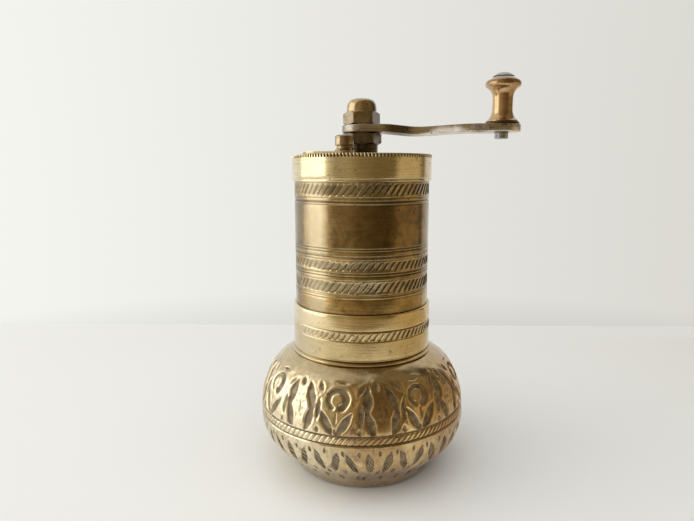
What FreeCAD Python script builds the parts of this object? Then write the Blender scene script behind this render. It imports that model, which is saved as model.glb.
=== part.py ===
# A hand-cranked poppy seed mill in brass and steel. A round-bellied bowl carries a neck collar, and the
# mill head plugs into it: a tube that holds the seed, with a toothed ring in its foot and a lid on top.
# The spindle hangs from a nut on the lid's bush and carries a toothed cone. Turning that nut lifts the
# cone into the ring and grinds finer, and a spring under the lid keeps the spindle down.
#
# Frame: +Z up, origin at the middle of the bowl's foot, crank along +X, millimetres.
import FreeCAD, Part
import math
import os
import types

import Sketcher

Vector = FreeCAD.Vector
UP = Vector(0, 0, 1)

DIMENSIONS = {
    # Running and seating clearances, all radial
    "fit": 0.03,
    "running_fit": 0.06,
    "plug_fit": 0.1,
    # Bowl: outer outline from the foot over the belly to the rim under the collar
    "bowl_radius": 39.4,
    "bowl_height": 46.0,
    "bowl_wall": 1.6,
    "belly_level": 23.0,
    "flank_radius": 35.65,
    "flank_level": 11.0,
    "shoulder_radius": 37.2,
    "shoulder_level": 35.0,
    "rim_radius": 26.9,
    "foot_round": 4.0,
    # Chased work on the bowl: two turned lines for a ring, and cuts that repeat round it. A leaf stands
    # between four cuts, a curl over two that meet at its stem, and a row of flutes runs below the ring.
    "ring_line_low": 23.1,
    "ring_line_high": 26.4,
    "ring_line_depth": 0.35,
    "ring_line_half": 0.3,
    "chase_repeats": 8,
    "cut_radius": 2.3,
    "cut_depth": 0.5,
    "cut_length": 11.6,
    "leaf_across": -7.7,
    "leaf_half": 4.2,
    "leaf_lean": 14.0,
    "leaf_high": 37.6,
    "leaf_low": 30.6,
    "curl_across": 6.1,
    "curl_level": 37.7,
    "curl_sweep": 3.1,
    "curl_gouge": 1.6,
    "stem_half": 3.1,
    "stem_lean": 31.0,
    "stem_level": 30.2,
    "flute_gap": 5.9,
    "flute_level": 16.0,
    "flute_lean_left": 16.0,
    "flute_lean_right": 11.0,
    # Neck collar
    "collar_radius": 26.2,
    "collar_height": 18.3,
    "collar_bead": 1.3,
    "collar_band_foot": 9.0,
    "collar_band_top": 12.3,
    "edge_break": 0.4,
    # Mill tube: spigot below its shoulder, hopper above it
    "spigot_radius": 24.4,
    "spigot_length": 15.3,
    "tube_radius": 25.25,
    "tube_height": 52.9,
    "hopper_wall": 1.65,
    "seat_width": 1.3,
    "seat_height": 3.0,
    "line_width": 0.6,
    "line_depth": 0.25,
    "lower_band_foot": 6.6,
    "lower_band_top": 12.0,
    "middle_band_foot": 14.6,
    "middle_band_top": 18.9,
    "waist_line": 21.8,
    "neck_line": 38.4,
    "upper_band_foot": 40.2,
    # Lid and its notched edge
    "lid_radius": 26.0,
    "lid_height": 9.4,
    "lid_plate": 2.0,
    "edge_height": 1.3,
    "edge_width": 1.4,
    "edge_notches": 134,
    "notch_depth": 0.4,
    "notch_width": 0.7,
    # Filler hole and its swinging shutter
    "filler_radius": 6.0,
    "filler_x": -13.6,
    "filler_y": -6.3,
    "pivot_x": -14.0,
    "pivot_y": 11.0,
    "handle_x": -5.9,
    "handle_y": -14.4,
    "shutter_overlap": 1.6,
    "shutter_end": 3.5,
    "shutter_thickness": 1.0,
    "rivet_radius": 1.4,
    "rivet_head": 2.4,
    "rivet_rise": 0.9,
    "handle_foot": 3.5,
    "handle_neck": 2.8,
    "handle_head": 3.35,
    "handle_height": 5.5,
    "handle_foot_edge": 0.35,
    "handle_neck_low": 1.1,
    "handle_neck_high": 1.75,
    "handle_head_low": 1.95,
    "handle_bevel": 0.65,
    # Upper bearing
    "bush_radius": 6.0,
    "bush_flange": 8.0,
    "bush_flange_height": 2.0,
    "bush_tail": 5.0,
    "bush_tail_length": 5.2,
    "bush_stand": 0.3,
    # Spindle
    "spindle_radius": 4.0,
    "cone_shank": 3.45,
    "journal_radius": 3.0,
    "square_flats": 5.6,
    "stud_radius": 2.95,
    "stud_length": 4.9,
    "spindle_tip": 2.0,
    # Lower bearing
    "bridge_thickness": 2.5,
    "bridge_width": 9.0,
    "bridge_boss": 8.0,
    "bridge_gap": 0.3,
    "lower_bush_radius": 4.6,
    "lower_bush_flange": 6.2,
    "lower_bush_rim": 1.0,
    "bridge_screw_radius": 0.9,
    "bridge_screw_depth": 4.5,
    "screw_head_radius": 1.4,
    "screw_head_height": 1.2,
    # Burrs
    "ring_recess": 4.0,
    "ring_height": 14.0,
    "ring_throat_height": 9.5,
    "ring_mouth": 20.5,
    "ring_throat": 15.2,
    "ring_outlet": 18.5,
    "ring_teeth": 20,
    "burr_gap": 0.8,
    "tooth_depth": 1.2,
    "tooth_twist": 14.0,
    "tooth_land": 0.1,
    "tooth_runout": 1.0,
    "cone_lift": 1.5,
    "cone_height": 15.0,
    "cone_cap_height": 3.5,
    "cone_teeth": 16,
    "cone_recess": 7.2,
    "cone_recess_depth": 4.2,
    "cone_nut_flats": 11.0,
    "cone_nut_height": 3.6,
    "grub_count": 3,
    "grub_radius": 1.25,
    "grub_length": 5.0,
    "grub_level": 7.0,
    "slot_width": 0.5,
    "slot_depth": 0.5,
    # Spring, its washer and the pin that carries it
    "cross_pin_radius": 1.0,
    "cross_pin_length": 12.0,
    "washer_radius": 7.5,
    "washer_thickness": 1.2,
    "spring_length": 25.0,
    "spring_radius": 6.0,
    "spring_wire": 0.6,
    "spring_turns": 6.5,
    # Adjusting nut, crank arm and cap nut
    "nut_shank": 6.0,
    "nut_shank_height": 3.5,
    "nut_flats": 13.0,
    "nut_hex_height": 4.3,
    "nut_facing": 34.0,
    "square_in_nut": 1.3,
    "square_above_arm": 1.7,
    "arm_thickness": 2.7,
    "arm_boss": 7.2,
    "arm_end": 6.8,
    "crank_radius": 51.5,
    "arm_dip": 1.0,
    "arm_dip_x": 20.0,
    "arm_level_x": 42.0,
    "cap_flats": 12.0,
    "cap_hex_height": 4.6,
    "cap_bevel": 30.0,
    "dome_radius": 5.55,
    "dome_height": 5.1,
    "cap_mouth_depth": 2.9,
    "cap_wall": 1.6,
    # Crank knob
    "knob_washer_radius": 6.2,
    "knob_washer_thickness": 0.8,
    "end_play": 0.1,
    "pin_radius": 2.45,
    "pin_stem": 2.2,
    "pin_tail": 2.4,
    "pin_head": 3.8,
    "pin_head_height": 1.6,
    "knob_height": 15.9,
    "knob_foot": 5.7,
    "knob_foot_height": 0.4,
    "knob_waist": 3.65,
    "knob_waist_low": 4.6,
    "knob_waist_high": 8.8,
    "knob_rim": 6.4,
    "knob_rim_level": 13.2,
    "knob_brim": 6.0,
    "knob_brim_level": 12.4,
    "knob_crown": 3.9,
    "knob_under_round": 1.5,
    "knob_rim_round": 2.0,
}


class Size:
    """A number together with the expression over the sheet's cells that gives it."""

    def __init__(self, value, text):
        self.value = value
        self.text = text

    def __add__(self, other):
        other = as_size(other)
        return Size(self.value + other.value, f"({self.text} + {other.text})")

    def __sub__(self, other):
        other = as_size(other)
        return Size(self.value - other.value, f"({self.text} - {other.text})")

    def __mul__(self, other):
        other = as_size(other)
        return Size(self.value * other.value, f"({self.text} * {other.text})")

    def __truediv__(self, other):
        other = as_size(other)
        return Size(self.value / other.value, f"({self.text} / {other.text})")

    def __rsub__(self, other):
        return as_size(other) - self

    def __neg__(self):
        return Size(-self.value, f"(0 - {self.text})")

    __radd__ = __add__
    __rmul__ = __mul__


def as_size(number):
    return number if isinstance(number, Size) else Size(float(number), repr(float(number)))


def root(size):
    return Size(math.sqrt(size.value), f"sqrt({size.text})")


document = FreeCAD.newDocument("poppy_seed_mill")
sheet = document.addObject("Spreadsheet::Sheet", "dims")
rows = []


def add_cell(name, content, value):
    """Write one named cell of the sheet and return it as a Size."""
    rows.append(name)
    row = len(rows)
    sheet.set(f"A{row}", name)
    sheet.set(f"B{row}", content)
    sheet.setAlias(f"B{row}", name)
    return Size(value, f"dims.{name}")


def worked_out(name, size):
    """Keep a size that follows from others as a formula in the sheet."""
    return add_cell(name, "=" + size.text.replace("dims.", ""), size.value)


size = types.SimpleNamespace()
for dimension, number in DIMENSIONS.items():
    setattr(size, dimension, add_cell(dimension, str(number), number))


# ---------------------------------------------------------------------------------------------------
# Sketches and features
# ---------------------------------------------------------------------------------------------------

def new_body(name, x=0, y=0, z=0):
    """An empty body that stands at (x, y, z)."""
    body = document.addObject("PartDesign::Body", name)
    body.Label = name
    place = [as_size(value) for value in (x, y, z)]
    body.Placement.Base = Vector(*[value.value for value in place])
    for axis, value in zip("xyz", place):
        body.setExpression(f"Placement.Base.{axis}", value.text)
    return body


def datum(body, role):
    """The body's own origin plane or axis of that role."""
    return next(item for item in body.Origin.OriginFeatures if item.Role == role)


def new_sketch(body, name, plane="XY_Plane", shift=0, level=0, turn=0):
    """A sketch on a plane of the body, moved along the sketch's own x and normal and turned in it."""
    sketch = body.newObject("Sketcher::SketchObject", name)
    sketch.AttachmentSupport = [(datum(body, plane), "")]
    sketch.MapMode = "FlatFace"
    shift, level, turn = as_size(shift), as_size(level), as_size(turn)
    sketch.AttachmentOffset = FreeCAD.Placement(
        Vector(shift.value, 0, level.value), FreeCAD.Rotation(UP, turn.value))
    sketch.setExpression("AttachmentOffset.Base.x", shift.text)
    sketch.setExpression("AttachmentOffset.Base.z", level.text)
    if turn.value:
        sketch.setExpression("AttachmentOffset.Rotation.Angle", turn.text)
    return sketch


def bind(sketch, kind, *where, value):
    """Add a constraint whose value follows the sheet."""
    index = sketch.addConstraint(Sketcher.Constraint(kind, *where, value.value))
    sketch.setExpression(f"Constraints[{index}]", value.text)


def locate(sketch, geometry, point, x, y):
    """Hold a point of the sketch at (x, y) from its origin."""
    for kind, axis, value in (("DistanceX", -2, as_size(x)), ("DistanceY", -1, as_size(y))):
        if value.value > 0:
            bind(sketch, kind, -1, 1, geometry, point, value=value)
        elif value.value < 0:
            bind(sketch, kind, geometry, point, -1, 1, value=-value)
        else:
            sketch.addConstraint(Sketcher.Constraint("PointOnObject", geometry, point, axis))


def arc_between(start, end, radius):
    """The minor arc from start to end, its centre on the left of the way if radius is positive."""
    chord = end - start
    left = Vector(-chord.y, chord.x, 0).normalize()
    depth = math.sqrt(radius * radius - chord.Length ** 2 / 4)
    centre = (start + end) / 2 + left * math.copysign(depth, radius)
    first, last = (start, end) if radius > 0 else (end, start)
    angles = [math.atan2(point.y - centre.y, point.x - centre.x) for point in (first, last)]
    return Part.ArcOfCircle(Part.Circle(centre, UP, abs(radius)), *angles)


def draw_outline(sketch, corners):
    """A closed outline. A corner is (x, y), or (x, y, radius) where an arc leads to the next one."""
    corners = [tuple(as_size(value) for value in corner) for corner in corners]
    points = [Vector(corner[0].value, corner[1].value, 0) for corner in corners]
    edges = []
    for number, corner in enumerate(corners):
        start, end = points[number], points[(number + 1) % len(points)]
        if len(corner) == 2:
            edges.append((sketch.addGeometry(Part.LineSegment(start, end)), 1, 2))
            continue
        radius = corner[2]
        geometry = sketch.addGeometry(arc_between(start, end, radius.value))
        edges.append((geometry, 1, 2) if radius.value > 0 else (geometry, 2, 1))
        bind(sketch, "Radius", geometry, value=radius if radius.value > 0 else -radius)
    for number, (geometry, first, _) in enumerate(edges):
        before, _, last = edges[number - 1]
        sketch.addConstraint(Sketcher.Constraint("Coincident", before, last, geometry, first))
        locate(sketch, geometry, first, corners[number][0], corners[number][1])


def draw_circle(sketch, radius, x=0, y=0):
    x, y, radius = as_size(x), as_size(y), as_size(radius)
    geometry = sketch.addGeometry(Part.Circle(Vector(x.value, y.value, 0), UP, radius.value))
    if x.value == 0 and y.value == 0:
        sketch.addConstraint(Sketcher.Constraint("Coincident", geometry, 3, -1, 1))
    else:
        locate(sketch, geometry, 3, x, y)
    bind(sketch, "Radius", geometry, value=radius)


def draw_round_plate(sketch, discs):
    """The band's outline pulled tight round discs (x, y, radius) that are given counterclockwise."""
    discs = [tuple(as_size(value) for value in disc) for disc in discs]
    centres = [Vector(x.value, y.value, 0) for x, y, _ in discs]
    ends = []
    for number, (_, _, radius) in enumerate(discs):
        following = (number + 1) % len(discs)
        along = centres[following] - centres[number]
        lean = (radius.value - discs[following][2].value) / along.Length
        along.normalize()
        outward = Vector(along.y, -along.x, 0) * math.sqrt(1 - lean * lean) + along * lean
        ends.append((centres[number] + outward * radius.value,
                     centres[following] + outward * discs[following][2].value))
    lines = [sketch.addGeometry(Part.LineSegment(*pair)) for pair in ends]
    arcs = []
    for number, (x, y, radius) in enumerate(discs):
        arriving, leaving = ends[number - 1][1], ends[number][0]
        angles = [math.atan2(point.y - centres[number].y, point.x - centres[number].x)
                  for point in (arriving, leaving)]
        arcs.append(sketch.addGeometry(
            Part.ArcOfCircle(Part.Circle(centres[number], UP, radius.value), *angles)))
        bind(sketch, "Radius", arcs[-1], value=radius)
        locate(sketch, arcs[-1], 3, x, y)
    for number, arc in enumerate(arcs):
        sketch.addConstraint(Sketcher.Constraint("Tangent", lines[number - 1], 2, arc, 1))
        sketch.addConstraint(Sketcher.Constraint("Tangent", arc, 2, lines[number], 1))


def regular(flats, sides=6, facing=0.0):
    """Corners of a regular polygon of that size across its flats, one flat facing that many degrees from +X."""
    reach = 0.5 / math.cos(math.pi / sides)
    turns = [math.pi / sides * (2 * side + 1) + math.radians(facing) for side in range(sides)]
    return [(flats * (reach * math.cos(turn)), flats * (reach * math.sin(turn))) for turn in turns]


def turn_on_axis(body, kind, name, corners, shift=0):
    """Turn an outline in the XZ plane round the body's axis, or round one that is shifted from it."""
    sketch = new_sketch(body, f"{name}_outline", "XZ_Plane", shift=shift)
    draw_outline(sketch, corners)
    feature = body.newObject(f"PartDesign::{kind}", name)
    feature.Profile = sketch
    feature.ReferenceAxis = (sketch, ["V_Axis"])
    feature.Angle = 360
    return feature


def turned(name, corners, x=0, y=0, z=0):
    """A turned piece at (x, y, z)."""
    body = new_body(name, x, y, z)
    turn_on_axis(body, "Revolution", f"{name}_turning", corners)
    return body


def extrude(body, sketch, name, length):
    length = as_size(length)
    feature = body.newObject("PartDesign::Pad", name)
    feature.Profile = sketch
    feature.Length = length.value
    feature.setExpression("Length", length.text)
    return feature


def cut_through(body, sketch, name):
    """Cut a sketch through the body, both ways."""
    feature = body.newObject("PartDesign::Pocket", name)
    feature.Profile = sketch
    feature.Type = "ThroughAll"
    feature.SideType = "Symmetric"
    return feature


def cut_down(body, sketch, name, depth):
    """Cut a sketch to a depth against its normal."""
    depth = as_size(depth)
    feature = body.newObject("PartDesign::Pocket", name)
    feature.Profile = sketch
    feature.Length = depth.value
    feature.setExpression("Length", depth.text)
    return feature


def drill(body, name, radius, x=0, y=0):
    """A round hole through the body along Z."""
    sketch = new_sketch(body, f"{name}_circle")
    draw_circle(sketch, radius, x, y)
    return cut_through(body, sketch, name)


def repeat_round(body, name, features, count):
    """Repeat features evenly round the body's Z axis."""
    pattern = body.newObject("PartDesign::PolarPattern", name)
    pattern.Originals = features
    pattern.Axis = (datum(body, "Z_Axis"), [""])
    pattern.Angle = 360
    count = as_size(count)
    pattern.Occurrences = int(count.value)
    pattern.setExpression("Occurrences", count.text)
    body.Tip = pattern
    return pattern


def lines_round(radius, *levels):
    """Corners of shallow turned lines in a wall of that radius, from the lowest line up."""
    half = size.line_width / 2
    corners = []
    for level in levels:
        corners += [(radius, level - half), (radius - size.line_depth, level), (radius, level + half)]
    return corners


# ---------------------------------------------------------------------------------------------------
# Levels that several pieces share, from the table up
# ---------------------------------------------------------------------------------------------------

shoulder = worked_out("tube_shoulder", size.bowl_height + size.collar_height)
spigot_foot = worked_out("spigot_foot", shoulder - size.spigot_length)
tube_top = worked_out("tube_top", shoulder + size.tube_height)
lid_top = worked_out("lid_top", tube_top + size.lid_plate)
bush_top = worked_out("bush_top", lid_top + size.bush_stand)
arm_level = worked_out("arm_level", bush_top + size.nut_shank_height + size.nut_hex_height)
arm_top = worked_out("arm_top", arm_level + size.arm_thickness)
ring_foot = worked_out("ring_foot", spigot_foot + size.ring_recess)
ring_top = worked_out("ring_top", ring_foot + size.ring_height)
bridge_foot = worked_out("bridge_foot", ring_foot - size.bridge_thickness)
cone_foot = worked_out("cone_foot", ring_foot + size.cone_lift)
cone_top = worked_out("cone_top", cone_foot + size.cone_height + size.cone_cap_height)
flange_foot = worked_out("flange_foot", tube_top - size.bush_flange_height)
washer_top = worked_out("washer_top", flange_foot - size.spring_length)
washer_foot = worked_out("washer_foot", washer_top - size.washer_thickness)
cross_pin_level = worked_out("cross_pin_level", washer_foot - size.cross_pin_radius)

collar_bore = worked_out("collar_bore", size.spigot_radius + size.plug_fit)
hopper_bore = worked_out("hopper_bore", size.tube_radius - size.hopper_wall)
ring_radius = worked_out("ring_radius", size.spigot_radius - size.hopper_wall)
ring_slope = worked_out("ring_slope", (size.ring_outlet - size.ring_throat) / size.ring_throat_height)
arm_hole = worked_out("arm_hole", size.square_flats + size.fit * 2)


# ---------------------------------------------------------------------------------------------------
# Bowl and neck collar
# ---------------------------------------------------------------------------------------------------

def inward(point, centre, radius, depth):
    """The point moved towards the arc's centre by the wall's depth."""
    return tuple(here + (there - here) * depth / radius for here, there in zip(point, centre))


def make_bowl():
    """A formed shell: flat foot, straight flank, round belly, shoulder and a flat rim for the collar."""
    wall = size.bowl_wall
    flank = (size.flank_radius, size.flank_level)
    belly = (size.bowl_radius, size.belly_level)
    shoulder_point = (size.shoulder_radius, size.shoulder_level)
    rim = (size.rim_radius, size.bowl_height)

    def arc_to_belly(name, point):
        """Radius and centre of the arc that leaves the belly upright and meets the point."""
        across, along = belly[0] - point[0], belly[1] - point[1]
        radius = worked_out(name, (across * across + along * along) / (across * 2))
        return radius, (belly[0] - radius, belly[1])

    lower, lower_centre = arc_to_belly("belly_arc", flank)
    upper, upper_centre = arc_to_belly("shoulder_arc", shoulder_point)

    # The foot's round edge touches the table and the flank's straight stretch.
    sine = worked_out("flank_sine", (belly[1] - flank[1]) / lower)
    cosine = worked_out("flank_cosine", (flank[0] - lower_centre[0]) / lower)
    run = worked_out("flank_run", (flank[1] + size.foot_round * (sine - 1)) / cosine)
    foot_edge = (flank[0] - sine * run, flank[1] - cosine * run)
    foot_centre = (worked_out("foot_radius", foot_edge[0] - cosine * size.foot_round), size.foot_round)

    # The last arc carries on from the shoulder to the rim.
    normal = [(centre - here) / upper for centre, here in zip(upper_centre, shoulder_point)]
    chord = [end - here for end, here in zip(rim, shoulder_point)]
    reach = chord[0] * chord[0] + chord[1] * chord[1]
    last = worked_out("rim_arc", reach / ((chord[0] * normal[0] + chord[1] * normal[1]) * 2))
    last_centre = [here + side * last for here, side in zip(shoulder_point, normal)]

    inner_foot_edge = inward(foot_edge, foot_centre, size.foot_round, wall)
    inner_flank = inward(flank, lower_centre, lower, wall)
    inner_shoulder = inward(shoulder_point, upper_centre, upper, wall)
    inner_rim = inward(rim, last_centre, last, wall)
    corners = [
        (0, 0),
        (foot_centre[0], 0, size.foot_round),
        foot_edge,
        (*flank, lower),
        (*belly, upper),
        (*shoulder_point, last),
        rim,
        (collar_bore, size.bowl_height),
        (collar_bore, size.bowl_height - wall),
        (*inner_rim, wall - last),
        (*inner_shoulder, wall - upper),
        (belly[0] - wall, belly[1], wall - lower),
        inner_flank,
        (*inner_foot_edge, wall - size.foot_round),
        (foot_centre[0], wall),
        (0, wall),
    ]
    blank = turned("bowl_blank", corners)
    arcs = [(size.shoulder_level, last_centre, last), (size.belly_level, upper_centre, upper),
            (size.flank_level, lower_centre, lower)]
    for name, level in (("ring_line_foot", size.ring_line_low), ("ring_line_top", size.ring_line_high)):
        radius = skin_at(arcs, level)[0]
        half, depth = size.ring_line_half, size.ring_line_depth
        turn_on_axis(blank, "Groove", name, [
            (radius - depth, level), (radius + depth, level - half * 2), (radius + depth, level + half * 2)])
    return chase(blank, arcs)


def skin_at(arcs, level):
    """Radius of the outer skin at a level above the flank, and its outward normal, out and up."""
    start, centre, radius = next(arc for arc in arcs if level.value >= arc[0].value)
    rise = (level - centre[1]) / radius
    out = root(1 - rise * rise)
    return centre[0] + out * radius, out, rise


def chase(blank, arcs):
    """Cut the leaves, curls and flutes in the bowl, a set that doesn't touch itself at a time."""
    leaf, half, lean = size.leaf_across, size.leaf_half, size.leaf_lean
    curl, stem, splay = size.curl_across, size.stem_half, size.stem_lean
    gap, level = size.flute_gap, size.flute_level
    left, right = -size.flute_lean_left, size.flute_lean_right
    sets = [
        [(leaf - half, size.leaf_high, lean), (leaf + half, size.leaf_high, -lean), (curl, size.curl_level, None)],
        [(leaf - half, size.leaf_low, -lean), (leaf + half, size.leaf_low, lean)],
        [(curl - stem, size.stem_level, -splay), (gap * -2, level, left), (as_size(0), level, left)],
        [(curl + stem, size.stem_level, splay), (-gap, level, right), (gap, level, right)],
        [(gap * 2, level, left)],
    ]
    repeats = int(size.chase_repeats.value)
    for number, marks in enumerate(sets):
        tools = [cutter(arcs, mark, (repeat + 0.5) / repeats) for repeat in range(repeats) for mark in marks]
        together = document.addObject("Part::Compound", f"chase_tools_{number}")
        together.Links = tools
        cut = document.addObject("Part::Cut", f"chased_bowl_{number}")
        cut.Base = blank
        cut.Tool = together
        blank = cut
    blank.Label = "bowl"
    return blank


def cutter(arcs, mark, share):
    """A tool sunk in the skin: a rod that leans from upright, or a ring where no lean is given."""
    across, level, lean = mark
    radius, out, rise = skin_at(arcs, level)
    turn = math.tau * share + across.value / radius.value
    east = Vector(-math.sin(turn), math.cos(turn), 0)
    ahead = Vector(math.cos(turn), math.sin(turn), 0)
    normal = ahead * out.value + UP * rise.value
    upward = UP * out.value - ahead * rise.value
    if lean is None:
        tool = document.addObject("Part::Torus", "curl_cutter")
        tool.setExpression("Radius1", size.curl_sweep.text)
        tool.setExpression("Radius2", size.curl_gouge.text)
        fall = size.curl_sweep * size.curl_sweep / (arcs[1][2] * 2)
        lift = size.curl_gouge - size.cut_depth - fall
        tool.Placement.Rotation = FreeCAD.Rotation(UP, normal)
        foot = Vector(0, 0, 0)
    else:
        tool = document.addObject("Part::Cylinder", "leaf_cutter")
        tool.setExpression("Radius", size.cut_radius.text)
        tool.setExpression("Height", size.cut_length.text)
        lift = size.cut_radius - size.cut_depth
        angle = math.radians(lean.value)
        along = upward * math.cos(angle) + east * math.sin(angle)
        tool.Placement.Rotation = FreeCAD.Rotation(UP, along)
        foot = along * (size.cut_length.value / 2)
    away = radius + out * lift
    for axis, part, shift in (("x", math.cos(turn), foot.x), ("y", math.sin(turn), foot.y)):
        tool.setExpression(f"Placement.Base.{axis}", (away * part - shift).text)
    tool.setExpression("Placement.Base.z", (level + rise * lift - foot.z).text)
    return tool


def make_neck_collar():
    """A turned ring on the bowl's rim, with a bead at its foot and two lines that bound a band."""
    radius, bead = size.collar_radius, size.collar_bead
    bead_width = size.rim_radius - radius
    corners = [
        (collar_bore, 0),
        (size.rim_radius - bead_width / 2, 0),
        (size.rim_radius, bead / 3),
        (size.rim_radius, bead * 2 / 3),
        (radius, bead),
        *lines_round(radius, size.collar_band_foot, size.collar_band_top),
        (radius, size.collar_height - size.edge_break),
        (radius - size.edge_break, size.collar_height),
        (collar_bore, size.collar_height),
    ]
    return turned("neck_collar", corners, z=size.bowl_height)


# ---------------------------------------------------------------------------------------------------
# Head: tube, lid and what is fixed to them
# ---------------------------------------------------------------------------------------------------

def make_mill_tube():
    """Spigot for the collar, shoulder, and the hopper; a ledge inside stops the burr ring."""
    foot = size.spigot_length
    seat = size.ring_recess + size.ring_height
    seat_bore = ring_radius - size.seat_width
    radius = size.tube_radius
    top = foot + size.tube_height
    lines = [foot + level for level in (
        size.lower_band_foot, size.lower_band_top, size.middle_band_foot, size.middle_band_top,
        size.waist_line, size.neck_line, size.upper_band_foot)]
    corners = [
        (ring_radius, 0),
        (size.spigot_radius, 0),
        (size.spigot_radius, foot),
        (radius, foot),
        *lines_round(radius, *lines),
        (radius, top),
        (hopper_bore, top),
        (hopper_bore, seat + size.seat_height + (hopper_bore - seat_bore)),
        (seat_bore, seat + size.seat_height),
        (seat_bore, seat),
        (ring_radius, seat),
    ]
    body = turned("mill_tube", corners, z=spigot_foot)
    sketch = new_sketch(body, "grub_circle", "YZ_Plane")
    draw_circle(sketch, size.grub_radius + size.fit, 0, size.ring_recess + size.grub_level)
    hole = extrude_cut_outward(body, sketch, "grub_hole", size.tube_radius)
    repeat_round(body, "grub_holes", [hole], size.grub_count)
    return body


def extrude_cut_outward(body, sketch, name, length):
    """Cut a sketch along its normal."""
    feature = cut_down(body, sketch, name, length)
    feature.Reversed = True
    return feature


def make_lid():
    """A turned cap over the tube's top, stepped at its edge for the notched ring."""
    radius, inner = size.lid_radius, size.tube_radius + size.fit
    skirt = size.lid_height - size.lid_plate
    corners = [
        (0, skirt),
        (inner, skirt),
        (inner, 0),
        (radius, 0),
        (radius, size.lid_height - size.edge_height),
        (radius - size.edge_width, size.lid_height - size.edge_height),
        (radius - size.edge_width, size.lid_height),
        (0, size.lid_height),
    ]
    body = turned("lid", corners, z=lid_top - size.lid_height)
    drill(body, "bush_hole", size.bush_radius + size.fit)
    drill(body, "filler_hole", size.filler_radius, size.filler_x, size.filler_y)
    drill(body, "rivet_hole", size.rivet_radius + size.fit, size.pivot_x, size.pivot_y)
    return body


def make_lid_edge():
    """A ring round the lid's top edge, milled with fine upright notches."""
    inner = size.lid_radius - size.edge_width + size.fit
    corners = [(inner, 0), (size.lid_radius, 0), (size.lid_radius, size.edge_height), (inner, size.edge_height)]
    body = turned("lid_edge", corners, z=lid_top - size.edge_height)
    half = size.notch_width / 2
    mouth = size.lid_radius + size.notch_depth
    sketch = new_sketch(body, "notch_outline")
    draw_outline(sketch, [(size.lid_radius - size.notch_depth, 0), (mouth, -half * 2), (mouth, half * 2)])
    notch = cut_through(body, sketch, "notch")
    repeat_round(body, "notches", [notch], size.edge_notches)
    return body


def make_lid_bush():
    """The upper bearing: it stands just proud of the lid, and its tail centres the spring."""
    tail = size.bush_tail_length
    flange = tail + size.bush_flange_height
    top = flange + size.lid_plate + size.bush_stand
    bore = size.spindle_radius + size.running_fit
    corners = [
        (bore, 0), (size.bush_tail, 0), (size.bush_tail, tail), (size.bush_flange, tail),
        (size.bush_flange, flange), (size.bush_radius, flange), (size.bush_radius, top), (bore, top),
    ]
    return turned("lid_bush", corners, z=flange_foot - tail)


def make_shutter_rivet():
    """Headed above the shutter and clenched below the lid."""
    rise, clench = size.rivet_rise, size.rivet_rise
    plate = clench + size.lid_plate
    top = plate + size.shutter_thickness + size.end_play
    head = size.rivet_head
    dome = worked_out("rivet_dome", (head * head + rise * rise) / (rise * 2))
    corners = [
        (0, 0), (head - size.edge_break, 0), (head, clench), (size.rivet_radius, clench),
        (size.rivet_radius, top), (head, top, dome), (0, top + rise),
    ]
    return turned("shutter_rivet", corners, size.pivot_x, size.pivot_y, lid_top - plate)


def make_filler_shutter():
    """A thin plate that covers the filler hole and swings out over the lid's edge."""
    body = new_body("filler_shutter", z=lid_top)
    sketch = new_sketch(body, "plate_outline")
    end = size.shutter_end
    draw_round_plate(sketch, [
        (size.pivot_x, size.pivot_y, end),
        (size.filler_x, size.filler_y, size.filler_radius + size.shutter_overlap),
        (size.handle_x, size.handle_y, end),
    ])
    extrude(body, sketch, "plate", size.shutter_thickness)
    drill(body, "pivot_hole", size.rivet_radius + size.running_fit, size.pivot_x, size.pivot_y)
    drill(body, "handle_hole", size.handle_neck / 2 + size.fit, size.handle_x, size.handle_y)
    return body


def make_shutter_knob():
    """A small turned handle, its shank riveted flush in the shutter."""
    foot, neck, head = size.handle_foot, size.handle_neck, size.handle_head
    low = size.shutter_thickness
    high = size.handle_height
    bevel = size.handle_bevel
    corners = [
        (0, 0), (neck / 2, 0), (neck / 2, low), (foot, low), (foot, low + size.handle_foot_edge),
        (neck, low + size.handle_neck_low), (neck, low + size.handle_neck_high),
        (head, low + size.handle_head_low), (head, low + high - bevel), (head - bevel, low + high),
        (0, low + high),
    ]
    return turned("shutter_knob", corners, size.handle_x, size.handle_y, lid_top)


# ---------------------------------------------------------------------------------------------------
# Burrs and lower bearing
# ---------------------------------------------------------------------------------------------------

def cut_teeth(body, name, low_radius, high_radius, low, high, depth, count):
    """Slanting V-shaped gaps down a conical wall; a positive depth cuts outward."""
    sections = []
    overrun = size.tooth_depth / 2 * math.copysign(1, depth.value)
    for label, radius, level, turn in (("low", low_radius, low, 0), ("high", high_radius, high, size.tooth_twist)):
        sketch = new_sketch(body, f"{name}_{label}", level=level, turn=turn)
        half = radius * math.pi * (1 - size.tooth_land) / count
        draw_outline(sketch, [(radius - overrun, -half), (radius + depth, 0), (radius - overrun, half)])
        sections.append(sketch)
    gap = body.newObject("PartDesign::SubtractiveLoft", name)
    gap.Profile = sections[0]
    gap.Sections = [sections[1]]
    gap.Ruled = True
    repeat_round(body, f"{name}_round", [gap], count)


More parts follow.
